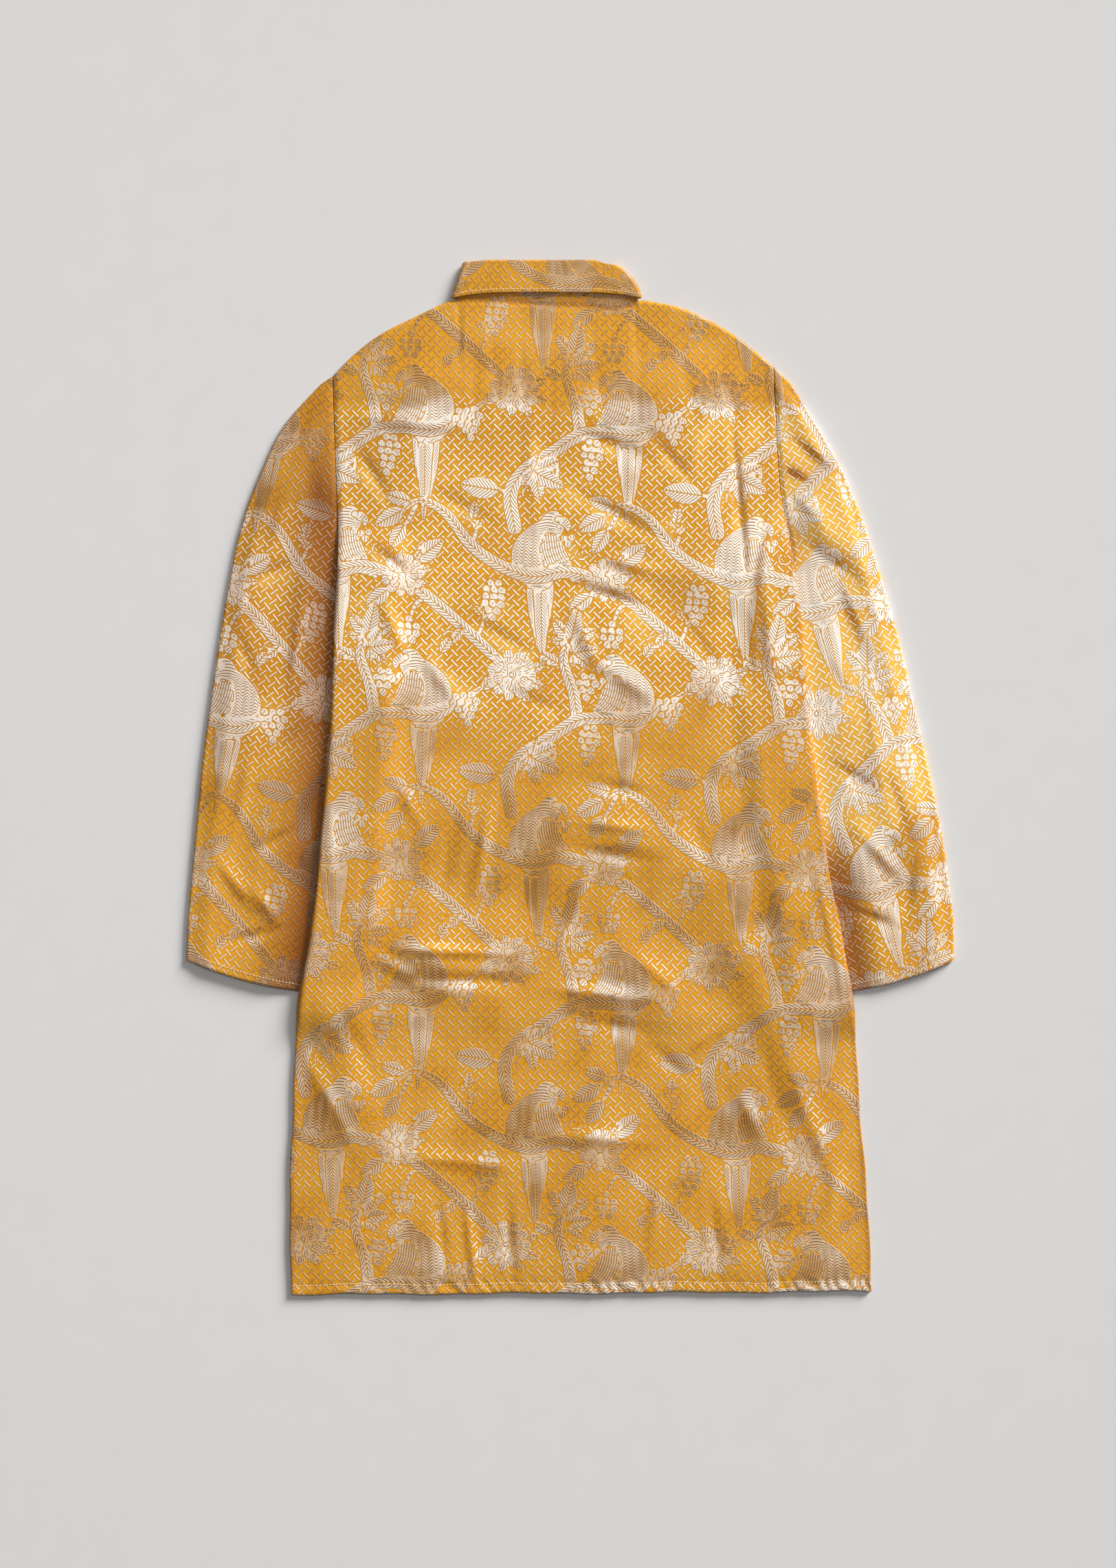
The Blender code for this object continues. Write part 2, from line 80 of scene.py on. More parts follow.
class Weave:
    """The figures at many places of the cloth. depth is the distance inside a figure's outline,
    split crosses zero on a figure's inner lines, and run grows across its floats."""

    def __init__(self, u, v):
        self.u, self.v = u, v
        self.depth = np.full(u.shape, -9.0)
        self.split = np.full(u.shape, PLAIN)
        self.run = np.zeros(u.shape)

    def near(self, x, y):
        """Offsets from the nearest repeat of a place in the drawing."""
        right, below = self.u - x, self.v - y
        right = right - np.round(right / REPEAT_WIDE) * REPEAT_WIDE
        return right, below - np.round(below / REPEAT_LONG) * REPEAT_LONG

    def lay(self, depth, split, run):
        """Lays a figure over the ones before it, with a thin line between them."""
        ring = (depth > -2) & (depth < 0) & (self.depth > 0)
        around = 1 if np.sign(self.split[ring]).sum() >= 0 else -1
        outside = np.sign(self.split) * np.minimum(np.abs(self.split), -depth)
        inside = -around * np.sign(split) * np.minimum(np.abs(split), depth + 0.4)
        self.split = np.where(depth > 0, inside, np.where(depth > -PLAIN, outside, self.split))
        self.run = np.where(depth > -FLOAT_REACH, run, self.run)
        over = np.maximum(self.depth, depth)
        near_edge = np.maximum(np.abs(depth + FLOAT_REACH) - 2 * FLOAT_REACH, FLOAT_REACH)
        self.depth = np.where(self.depth > 0, np.minimum(over, near_edge), over)

    def stroke(self, offset, points):
        """Depth, beside and along for a stroke whose smooth curve goes through rows of x, y and
        half width. offset gives the places as seen from a point."""
        rows = np.array(points, float)
        steps = np.linspace(0, len(rows) - 1, 5 * (len(rows) - 1) + 1)
        xs, ys, halves = [through(range(len(rows)), rows[:, k], steps) for k in range(3)]
        depth = np.full(self.u.shape, -99.0)
        beside = np.zeros(self.u.shape)
        along = np.zeros(self.u.shape)
        travelled = 0.0
        for k in range(len(steps) - 1):
            right, down = xs[k + 1] - xs[k], ys[k + 1] - ys[k]
            length = math.hypot(right, down)
            right, down = right / length, down / length
            a, b = offset(xs[k] + right * length / 2, ys[k] + down * length / 2)
            run = a * right + b * down
            off = b * right - a * down
            share = np.clip(run / length + 0.5, 0, 1)
            over = np.maximum(np.abs(run) - length / 2, 0)
            here = halves[k] + (halves[k + 1] - halves[k]) * share - np.hypot(over, off)
            better = here > depth
            depth = np.where(better, here, depth)
            beside = np.where(better, off, beside)
            along = np.where(better, travelled + length / 2 + run, along)
            travelled += length
        return depth, beside, along

    def bough(self, points, inner=True):
        """A bough of two halves with slanting floats, or a plain twig."""
        depth, beside, along = self.stroke(self.near, points)
        self.lay(depth, 1.4 * beside if inner else PLAIN, 0.5 * along + 0.87 * np.abs(beside))

    def leaf(self, p, q, length, wide, saw=0.8):
        """A leaf from its stalk along p, with a midrib and slanting floats."""
        t = np.clip(p / length, 0, 1)
        half = wide / 2 * np.sin(np.pi * t**0.8) ** 0.7
        teeth = saw * (np.abs((p - 0.5 * np.abs(q)) / 4.4 % 1 - 0.5) * 4 - 1)
        side = half + teeth * np.sin(np.pi * t) - np.abs(q)
        self.lay(np.minimum(side, np.minimum(p, length - p) + 0.8), q, (p - np.abs(q)) / math.sqrt(2))

    def spray(self, p, q, size):
        """A vine leaf: five lobes that spread from one stalk."""
        for turn, share in ((-104, 0.6), (104, 0.6), (-52, 0.85), (52, 0.85), (0, 1)):
            along, beside = turned(p, q, turn)
            self.leaf(along, beside, size * share, size * share * 0.5, 1.0)

    def flower(self, p, q, size):
        """A full round flower: saw-edged leaves on one side, and rings of petals about a button."""
        for turn, share in ((-75, 0.95), (-38, 1.15), (0, 1.2), (38, 1.05), (78, 0.9)):
            along, beside = turned(p, q, turn)
            self.leaf(along, beside, size * share, size * 0.4, 1.1)
        for count, reach, wide in ((11, 0.78, 0.21), (8, 0.56, 0.2), (5, 0.34, 0.19)):
            for k in range(count):
                along, beside = turned(p, q, 360 * k / count + 7 * count)
                share = np.clip(along / (reach * size), 0, 1)
                half = wide * size * share**0.6
                tip = np.sqrt(np.maximum(1 - ((share - 0.7) / 0.3) ** 2, 0))
                side = np.where(share > 0.7, half * tip, half) - np.abs(beside)
                self.lay(np.minimum(side, np.minimum(along, reach * size - along)), PLAIN, beside)
        distance = np.hypot(p, q)
        self.lay(0.13 * size - distance, PLAIN, 0.7 * distance)

    def berries(self, p, q, rows):
        """A hanging bunch of slanting oval berries, from its top along q."""
        for row, count in enumerate(rows):
            for k in range(count):
                along, beside = turned(p - (k - (count - 1) / 2) * 5.3, q - row * 4.7, 35)
                self.lay((1 - np.hypot(along / 3.1, beside / 2.5)) * 2.5, PLAIN, along)

    def bird(self, p, q):
        """A parakeet on its perch, facing along p, with its long tail down along q."""
        def at(x, y):
            return p - x, q - y

        for x, lean, length, half in ((11, 0, 42, 3.6), (-2, 9, 48, 3.9), (5, 6, 60, 4.4)):
            feather = [(x, -4, half), (x + lean / 2, length / 2, half), (x + lean, length, 1.4)]
            depth, beside, along = self.stroke(at, feather)
            self.lay(depth, 1.4 * beside, (along - 1.3 * np.abs(beside)) * 0.75)
        body = [(11, -37, 8.2), (8, -31, 9.0), (3, -24, 12.0), (-1, -15, 14.6), (0, -6, 14.0), (4, -1, 11)]
        depth, beside, along = self.stroke(at, body)
        breast = smooth((q + 36) / 8)
        zigzag = 0.9 * np.abs(p % 6 - 3) * breast - 0.03 * (p - 8) ** 2 * (1 - breast)
        self.lay(depth, PLAIN, 0.8 * q + zigzag)
        wing = [(10, -25, 5.4), (12, -17, 8.6), (17, -9, 8.0), (32, 2, 1.4)]
        depth, beside, along = self.stroke(at, wing)
        scallop = along - 1.6 * np.abs(np.sin(np.pi * beside / 4.6))
        self.lay(depth, 3 * np.sin(np.pi * scallop / 4.6), beside)
        beak = [(17, -39, 3.2), (20.5, -36.5, 2.4), (21, -32.5, 0.9)]
        depth, beside, along = self.stroke(at, beak)
        self.lay(depth, PLAIN, along)
        self.lay(2.1 - np.hypot(p - 13.5, q + 39.5), PLAIN, 0 * p)
        for x, y in ((19, -27), (24, -28), (22, -23.5)):
            self.lay(2.5 - np.hypot(p - x, q - y), PLAIN, p)

    def tendril(self, x, y, turn, size):
        """A thin twig that curls up at its end."""
        points = []
        for k in range(9):
            angle = math.radians(turn + 48 * k)
            reach = size * (1 - k / 10)
            points.append((x + reach * math.cos(angle), y + reach * math.sin(angle), 0.9 - 0.03 * k))
        self.bough(points, False)


Sprig = namedtuple("Sprig", "x y turn size")
Bunch = namedtuple("Bunch", "x y turn rows")


def rows_of(kind, *rows):
    """A table whose rows all have the columns of one kind."""
    return [kind(*row) for row in rows]


# Rows of x, y and half width along each bough
BOUGHS = [
    [
        (-44, 19, 1.6), (-32, 11, 2.3), (-14, 19, 3.3), (4, 41, 3.9), (24, 54, 4.2),
        (46, 61, 4.8), (68, 57, 4.4), (92, 63, 3.9), (112, 76, 4.0), (134, 94, 4.0),
        (154, 112, 3.9), (170, 126, 3.7),
    ],
    [
        (33, 28, 4.8), (30, 5, 4.8), (40, -12, 4.4), (58, -24, 4.2), (77, -36, 4.4),
        (96, -38, 4.0), (115, -37, 4.6), (132, -45, 3.2), (150, -57, 1.8),
    ],
    [
        (77, -36, 4.2), (74, -56, 3.9), (67, -76, 3.3), (71, -92, 2.3),
    ],
]
TWIGS = [
    [(4, 40, 1.6), (7, 30, 1.4), (5, 20, 1.0)],
    [(104, 14, 1.8), (98, 26, 1.5), (92, 30, 1.2)],
    [(146, 104, 1.6), (150, 94, 1.3), (150, 84, 1.0)],
    [(118, 80, 1.8), (106, 80, 1.5), (101, 90, 1.2)],
    [(30, 6, 2.0), (22, 2, 1.6), (14, 1, 1.2)],
    [(58, -24, 1.8), (62, -12, 1.5), (58, -4, 1.2)],
]
TENDRILS = rows_of(
    Sprig,
    (44, 4, 150, 6), (78, 44, 20, 5), (128, 104, 200, 5), (84, 150, 70, 5),
)
LEAVES = rows_of(
    Sprig,
    (22, 3, 188, 27), (95, 18, 150, 22), (100, 12, -165, 18), (96, 28, 120, 19), (5, 30, -50, 10),
    (6, 26, -130, 10), (5, 22, -85, 12), (150, 92, -40, 10), (149, 88, -130, 9),
    (150, 84, -80, 11), (104, 52, -38, 24), (86, 72, 142, 20), (136, 98, 130, 13),
    (12, 138, -42, 17), (122, 114, -60, 13), (64, 120, -150, 15),
)
SPRAYS = [Sprig(46, 184, 25, 23), Sprig(72, 104, -78, 23), Sprig(74, 112, -10, 18)]
BUNCHES = rows_of(
    Bunch,
    (20, 66, 4, (2, 3, 3, 3, 2, 1)), (0, 143, -8, (3, 4, 3, 2, 1)),
    (86, 163, 6, (2, 3, 3, 2, 2, 1)), (100, 92, 2, (1, 3, 3, 2)), (84, 128, 5, (2, 3, 2, 1)),
)
FLOWERS = [Sprig(32, 128, 20, 22), Sprig(95, 62, -15, 19)]
BIRDS = [Sprig(46, 60, 4, 1), Sprig(115, 156, 5, -1)]  # one of size -1 faces left


def figures(u, v):
    """The drawing: boughs that wind up and down the cloth, with all that grows and sits on them."""
    cloth = Weave(u, v)

    def at(sprig, flip=1):
        right, below = cloth.near(sprig.x, sprig.y)
        return turned(right * flip, below, sprig.turn)

    for points in TWIGS:
        cloth.bough(points, False)
    for sprig in TENDRILS:
        cloth.tendril(*sprig)
    for sprig in BIRDS:
        cloth.bird(*at(sprig, sprig.size))
    for points in reversed(BOUGHS):
        cloth.bough(points)
    for sprig in LEAVES:
        cloth.leaf(*at(sprig), sprig.size, sprig.size * 0.54)
    for sprig in SPRAYS:
        cloth.spray(*at(sprig), sprig.size)
    for bunch in BUNCHES:
        cloth.berries(*at(bunch), bunch.rows)
    for sprig in FLOWERS:
        cloth.flower(*at(sprig), sprig.size)
    return cloth.depth, cloth.split, cloth.run


def colour(code):
    """A linear colour from its sRGB hex code."""
    parts = [int(code[k : k + 2], 16) / 255 for k in (1, 3, 5)]
    return [p / 12.92 if p <= 0.04045 else ((p + 0.055) / 1.055) ** 2.4 for p in parts] + [1.0]


def feed(tree, node, inputs):
    """Gives a node's inputs, by name or as a row from the first, values, hex colours or outputs."""
    for key, source in inputs.items() if isinstance(inputs, dict) else enumerate(inputs):
        if isinstance(source, bpy.types.Node):
            source = source.outputs[0]
        if isinstance(source, bpy.types.NodeSocket):
            tree.links.new(source, node.inputs[key])
        else:
            node.inputs[key].default_value = colour(source) if isinstance(source, str) else source


def add(tree, kind, inputs=(), **settings):
    """Adds a node, sets it and feeds it."""
    made = tree.nodes.new("ShaderNode" + kind)
    for name, value in settings.items():
        setattr(made, name, value)
    feed(tree, made, inputs)
    return made


def new_material(name, **constants):
    """A material, its tree and its shader, with the shader's own sockets set."""
    material = bpy.data.materials.new(name)
    material.use_nodes = True
    tree = material.node_tree
    shader = tree.nodes["Principled BSDF"]
    feed(tree, shader, {key.replace("_", " "): value for key, value in constants.items()})
    return material, tree, shader


# Figured satin: the smooth ground shines softly, and the floating yarn is paler and glossier.
satin = {"IOR": 1.5, "Specular_IOR_Level": 0.4, "Specular_Tint": "#FFEBCB"}
brocade, tree, shader = new_material("figured satin brocade", **satin)
cloth_at = add(tree, "Attribute", attribute_name="cloth").outputs["Vector"]
figure_at = add(tree, "Attribute", attribute_name="figure").outputs["Vector"]
shade_at = add(tree, "Attribute", attribute_name="shade").outputs["Fac"]
# the painted sheen, 0 to 1, is the third value of the cloth attribute
shine_at_spot = add(tree, "SeparateXYZ", [cloth_at]).outputs[2]
depth, split, run = add(tree, "SeparateXYZ", [figure_at]).outputs
# The distance from the nearest dash of each slant, in cells that repeat over the cloth
flat = add(tree, "VectorMath", [cloth_at, (1, 1, 0)], operation="MULTIPLY")
low, high = (-DASH_WIDE / 2, -DASH_LONG / 2, -1), (DASH_WIDE / 2, DASH_LONG / 2, 1)
slope = math.sqrt(0.5)
dashes = []
for slant, shift in ((1, 0), (-1, 0.5)):
    moved = (shift * DASH_WIDE, shift * DASH_LONG, 0)
    cell = add(tree, "VectorMath", [flat, moved], operation="ADD")
    cell = add(tree, "VectorMath", [cell, high, low], operation="WRAP")
    along = add(tree, "VectorMath", [cell, (slope, slant * slope, 0)], operation="DOT_PRODUCT")
    beside = add(tree, "VectorMath", [cell, (slope, -slant * slope, 0)], operation="DOT_PRODUCT")
    along = add(tree, "Math", [along.outputs["Value"]], operation="ABSOLUTE")
    along = add(tree, "Math", [along, (DASH_LENGTH - DASH_THICK) / 2], operation="SUBTRACT")
    along = add(tree, "Math", [along, 0.0], operation="MAXIMUM")
    away = add(tree, "CombineXYZ", [along, beside.outputs["Value"]])
    dashes.append(add(tree, "VectorMath", [away], operation="LENGTH").outputs["Value"])
nearest = add(tree, "Math", dashes, operation="MINIMUM")
soft = {"interpolation_type": "SMOOTHSTEP"}
dash = add(tree, "MapRange", [nearest, DASH_THICK * 0.66, DASH_THICK * 0.36], **soft)
# painted shade on the ground round each dash, where the raised float shadows it
groove = add(tree, "MapRange", [nearest, DASH_THICK * 1.3, DASH_THICK * 0.6, 0.0, 0.4], **soft)
free = add(tree, "MapRange", [depth, -0.9, -0.3, 1.0, 0.0])
dash = add(tree, "Math", [dash, free], operation="MULTIPLY")
# The figures, with their inner lines and the fine hatch of their floats
fill = add(tree, "MapRange", [depth, 0.0, 0.5], **soft)
line = add(tree, "Math", [split], operation="ABSOLUTE")
line = add(tree, "MapRange", [line, 0.15, 0.6], **soft)
wave = add(tree, "Math", [run, 2 * math.pi / HATCH_PITCH], operation="MULTIPLY")
wave = add(tree, "Math", [wave], operation="SINE")
inside = add(tree, "MapRange", [depth, 0.5, 0.8])
wave = add(tree, "Math", [wave, inside], operation="MULTIPLY")
hatch = add(tree, "MapRange", [wave, -0.9, 0.1], **soft)
figure = add(tree, "Math", [fill, line], operation="MULTIPLY")
float_height = add(tree, "Math", [figure, hatch], operation="MULTIPLY")
yarn = add(tree, "Math", [float_height, dash], operation="MAXIMUM")
cover = add(tree, "Math", [figure, dash], operation="MAXIMUM")
# The colours: painted sheen takes the yarn from a dull copy to a pale one, and paints highlights on the
# ground
where = add(tree, "TexCoord").outputs["Object"]
blotch = add(tree, "TexNoise", {"Vector": where, "Scale": 32.0, "Detail": 3.0})
grain = add(tree, "TexNoise", {"Vector": cloth_at, "Scale": 1.4, "Detail": 2.0})
# the painted sheen varies in soft blotches
play = add(tree, "MapRange", [blotch, 0.32, 0.68, -0.26, 0.3])
painted_sheen_full = add(tree, "Math", [shine_at_spot, play], operation="ADD")
painted_sheen = add(tree, "MapRange", [painted_sheen_full])
blaze = add(tree, "MapRange", [painted_sheen_full, 0.95, 1.4, 0.0, 0.65])
ground = add(tree, "MixRGB", [blotch, "#D38A14", "#E6A51C"])
# the ground darkened by the painted shade round the dashes
ground = add(tree, "MixRGB", [groove, ground, "#B06C08"])
# a painted highlight on the ground where the painted sheen is strongest
ground = add(tree, "MixRGB", [blaze, ground, "#FFC654"])
grooves = add(tree, "MixRGB", [grain, "#875623", "#9E6E36"])
# the lines between the floats are painted paler with the sheen
grooves = add(tree, "MixRGB", [painted_sheen, grooves, "#BF9465"])
# the yarn's dull, unlit copy and its pale, lit copy, mixed by the painted sheen
dull = add(tree, "MixRGB", [blotch, "#AE8047", "#C4975C"])
pale = add(tree, "MixRGB", [painted_sheen, dull, "#FBF0E2"])
yarn_colour = add(tree, "MixRGB", [hatch, grooves, pale])
look = add(tree, "MixRGB", [cover, ground, yarn_colour])
# painted shade: the shade attribute darkens the colour towards a warm brown
look = add(tree, "MixRGB", [shade_at, look, "#96622A"], blend_type="MULTIPLY")
gloss = add(tree, "MapRange", [cover, 0.0, 1.0, 0.65, 0.3])
# The relief of the floats, over the satin's fine diagonal lines, 0.85 mm apart
twill = add(tree, "VectorMath", [cloth_at, (5.2, 5.2, 0)], operation="DOT_PRODUCT")
twill = add(tree, "Math", [twill.outputs["Value"]], operation="SINE")
relief = add(tree, "Math", [twill, 0.05, yarn], operation="MULTIPLY_ADD")
bump = add(tree, "Bump", {"Strength": 0.9, "Distance": 0.0002, "Height": relief})
feed(tree, shader, {"Base Color": look, "Roughness": gloss, "Normal": bump})

# The front panel: cut from the brocade with the neck lower than the back's and a boxed opening.
# It lies under the rest with its face down, and its edges rise over the tucked sleeves.
CLOTH_WALL = 1.2
SEAM_GAP = 0.3
LENGTH = 704  # collar top to hem
CENTRE_LEFT = 17.06
LEAN = 0.0352
HEM_LIFT = 2.3
UNDERARM, SLIT, CHEST = 215, 511, 230
NECK_END, NECK_END_DOWN = 66, 27.5
NECK_HALF, COLLAR_BASE, COLLAR_DIP, FRONT_DROP = 62, 22.4, 3.6, 55
BOX_HALF = 13
LIFT, LIFT_FLAT, LIFT_SLOPE, CUFF_INNER = 3.0, 34, 20, 499
Side = namedtuple("Side", "down left right")
BODY = rows_of(
    Side,
    (70, 147.3, 153.0), (150, 147.3, 154.3), (195, 147.5, 160.2), (250, 152.5, 166.2),
    (325, 158.2, 168.5), (400, 167.7, 177.0), (450, 174.5, 184.3), (510, 186.0, 191.8),
    (590, 192.9, 194.6), (704, 198.0, 198.2),
)
SHOULDER = rows_of(
    Side,
    (66, 27.5, 27.0), (75, 31.4, 28.6), (90, 38.5, 31.8), (105, 45.6, 37.9), (118, 53.0, 45.2),
    (130, 62.3, 53.0), (140, 71.4, 61.2), (147.3, 79.0, 67.6), (153, 84.0, 72.4),
)
# How an edge turns under: the distance inside the edge, and the share of the way down
TURN = [(0.6, 0.0), (0.18, 0.15), (0.0, 0.5), (0.18, 0.85), (0.6, 1.0), (3.0, 1.0), (9.0, 1.03)]


def side_read(table, across, at):
    """A value for each side of the garment, read from the table's left or right column."""
    places = [row[0] for row in table]
    left = through(places, [row.left for row in table], at)
    return np.where(across < 0, left, through(places, [row.right for row in table], at))


def inside_edge(across, down):
    """How far inside the body's side edge a place lies."""
    return side_read(BODY, across, down) - np.abs(across)


def place(across, down, height):
    """World positions, in metres, of places on the garment."""
    x = across + LEAN * down - CENTRE_LEFT
    return np.stack(np.broadcast_arrays(x, LENGTH / 2 - down, height), -1) / 1000


def folds_at(folds, across, down):
    """Height of the folds that pass each place."""
    total = np.zeros(np.broadcast(across, down).shape)
    for fold in folds:
        beside, along = turned(across - fold.across, down - fold.down, -fold.turn)
        total += fold.height * np.exp(-((along / fold.length) ** 2) - (beside / fold.width) ** 2)
    return total


def front_lift(across, down):
    """How high the front's sides rise over the sleeves that are tucked under them."""
    edge = 1 - smooth((inside_edge(across, down) - LIFT_FLAT) / LIFT_SLOPE)
    begins = smooth((down - UNDERARM + 40) / 30)
    return LIFT * edge * begins * (1 - smooth((down - CUFF_INNER - 7) / 30))


def hem_line(across):
    """Down to the hem, which puckers a little along its stitching."""
    wave = 0.5 * np.sin(across / 17 + 1) + 0.3 * np.sin(across / 6.1)
    share = (across + BODY[-1].left) / (BODY[-1].left + BODY[-1].right)
    return LENGTH - 0.6 - HEM_LIFT * share + wave


def edge_wave(down):
    """The free side edges below the armholes aren't quite straight."""
    return smooth((down - 240) / 40) * (0.6 * np.sin(down / 24) + 0.35 * np.sin(down / 8.7))


def panel_grid(columns, rows, top):
    """Across, down, the distance below the upper edge and how far it is turned under, for each
    point of a panel. A column is a share of the half width, an inset and a turn. A row is 0 at
    the upper edge, 1 at the chest and 2 at the hem, with an inset and a turn as well."""
    share, inset, side_turn = [np.array(c)[None, :] for c in zip(*columns)]
    part, below, end_turn = [np.array(r)[:, None] for r in zip(*rows)]
    sign = np.sign(share)
    start = top(share * side_read(BODY, share, BODY[0].down) - sign * inset)
    hem = hem_line(share * BODY[-1].left - sign * inset)
    upper = start + below + (CHEST - start - below) * part
    down = np.where(part <= 1, upper, CHEST + (hem - CHEST) * (part - 1) - below)
    across = share * (side_read(BODY, share, down) + edge_wave(down)) - sign * inset
    turn = np.maximum(side_turn, end_turn) + 0.1 * np.minimum(side_turn, end_turn)
    return across, down, down - start, turn


def into_mesh(name, bm):
    """A mesh from a finished bmesh."""
    mesh = bpy.data.meshes.new(name)
    bm.to_mesh(mesh)
    bm.free()
    return mesh


def rework(mesh, work):
    """Changes a mesh by some work on its bmesh."""
    bm = bmesh.new()
    bm.from_mesh(mesh)
    work(bm)
    bm.to_mesh(mesh)
    bm.free()


def merge_seam(bm):
    """Joins the two ends of a sheet that goes all round, which lie in the same places."""
    bmesh.ops.remove_doubles(bm, verts=bm.verts, dist=0.000004)


def fill_ends(bm):
    """Closes the open ends of a tube."""
    bmesh.ops.holes_fill(bm, edges=[e for e in bm.edges if e.is_boundary])


def put_in_scene(name, data, material=None):
    """An object at the origin. A mesh gets its one material."""
    if material:
        data.materials.append(material)
    obj = bpy.data.objects.new(name, data)
    bpy.context.scene.collection.objects.link(obj)
    return obj


def cloth_sheet(name, points, cut, u, v, shine, shade=0.0, flip=False):
    """A sheet of brocade whose grid of points is given. u and v lie across and down the woven
    length, from the place that the piece was cut at."""
    rows, columns = points.shape[:2]
    bm = bmesh.new()
    bmesh.ops.create_grid(bm, x_segments=columns - 1, y_segments=rows - 1, size=1)
    if flip:
        bmesh.ops.reverse_faces(bm, faces=bm.faces)
    mesh = into_mesh(name, bm)
    spots = np.empty(len(mesh.vertices) * 3)
    mesh.vertices.foreach_get("co", spots)
    spots = spots.reshape(-1, 3)
    i = np.rint((spots[:, 0] + 1) / 2 * (columns - 1)).astype(int)
    j = np.rint((1 - spots[:, 1]) / 2 * (rows - 1)).astype(int)
    mesh.vertices.foreach_set("co", points[j, i].ravel())
    u, v, shine, shade = [np.broadcast_to(a, (rows, columns))[j, i] for a in (u, v, shine, shade)]
    # the painted shade, one value for each point
    mesh.attributes.new("shade", "FLOAT", "POINT").data.foreach_set("value", shade.ravel())
    u, v = u + cut[0], v + cut[1]
    # the cloth attribute carries the pattern's place and the painted sheen
    for attribute, values in (("cloth", (u, v, shine)), ("figure", figures(u, v))):
        layer = mesh.attributes.new(attribute, "FLOAT_VECTOR", "POINT")
        layer.data.foreach_set("vector", np.stack(values, -1).ravel())
    rework(mesh, merge_seam)
    mesh.shade_smooth()
    return put_in_scene(name + "_cloth", mesh, brocade)


def fit(obj, node):
    """The piece takes the place of its CAD node, which is hidden, and hangs from the root."""
    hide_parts(node)
    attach(obj, "root")


def shoulder_line(across):
    """Down to the upper edge between the collar and the armhole."""
    return side_read(SHOULDER, across, np.abs(across))


def front_top(across):
    """Down to the front panel's upper edge: the shoulders, and the neck curve round the collar."""
    share = np.minimum(np.abs(across) / (NECK_HALF + 2 * SEAM_GAP), 1.0)
    neck = COLLAR_BASE + COLLAR_DIP + (FRONT_DROP + 2 * SEAM_GAP) * np.sqrt(1 - share * share)
    neck = np.maximum(neck, NECK_END_DOWN)
    return np.where(np.abs(across) > NECK_END, shoulder_line(across), neck)


def edge_columns(steps):
    """The turned edge, from the outside of the panel's right half inwards and then under it."""
    return [(1, inset, 0) for inset in steps] + [(1, inset, turn) for inset, turn in TURN]


def whole_width(right, middle=()):
    """The columns of both halves, and of the middle, from the right half's."""
    left = [(-share, inset, turn) for share, inset, turn in reversed(right)]
    return left + list(middle) + right


def edge_rows(steps=()):
    """The turned upper edge of a panel, from under it outwards, and then inwards by some steps."""
    rows = [(0, inset, turn) for inset, turn in reversed(TURN)]
    return rows + [(0, inset, 0) for inset in steps]


HEM_ROWS = [(2, inset, turn) for inset, turn in TURN]
NO_SHARE = 0.0001  # the columns at the neck run at a fixed distance from the middle
# the painted sheen of the parts that lie hidden is low
FRONT_CUT, HIDDEN_SHINE = (0, 31), 0.1
neck_turns = [math.radians(90 * k / 36) for k in range(36)]
neck_across = [BOX_HALF] + [NECK_HALF * math.cos(turn) for turn in reversed(neck_turns)]
front_columns = [(NO_SHARE, -across, 0) for across in neck_across if across >= BOX_HALF]
front_columns += [(0.42 + 0.58 * k / 52, (k / 52) * 3, 0) for k in range(1, 53)]
front_columns += edge_columns((2, 1.2))
front_rows = edge_rows() + [(k / 100, 0.6, 0) for k in range(1, 101)]
front_rows += [(1 + k / 230, 0.6, 0) for k in range(1, 231)] + HEM_ROWS
across, down, below_top, turn = panel_grid(whole_width(front_columns), front_rows, front_top)
rise = front_lift(across, down)
front = cloth_sheet(
    "front",
    place(across, down, rise + 0.04 + turn * (CLOTH_WALL - 0.1)),
    FRONT_CUT,
    -across,
    down,
    HIDDEN_SHINE,
    flip=True,
)


def cut_box(bm):
    """Opens the box for the placket, from the neck down to the chest."""
    opening = []
    for face in bm.faces:
        middle = face.calc_center_median()
        centre = LEAN * (LENGTH / 2000 - middle.y) - CENTRE_LEFT / 1000
        if middle.y > (LENGTH / 2 - CHEST) / 1000 and abs(middle.x - centre) < BOX_HALF / 2000:
            opening.append(face)
    bmesh.ops.delete(bm, geom=opening, context="FACES")


rework(front.data, cut_box)
fit(front, "front")

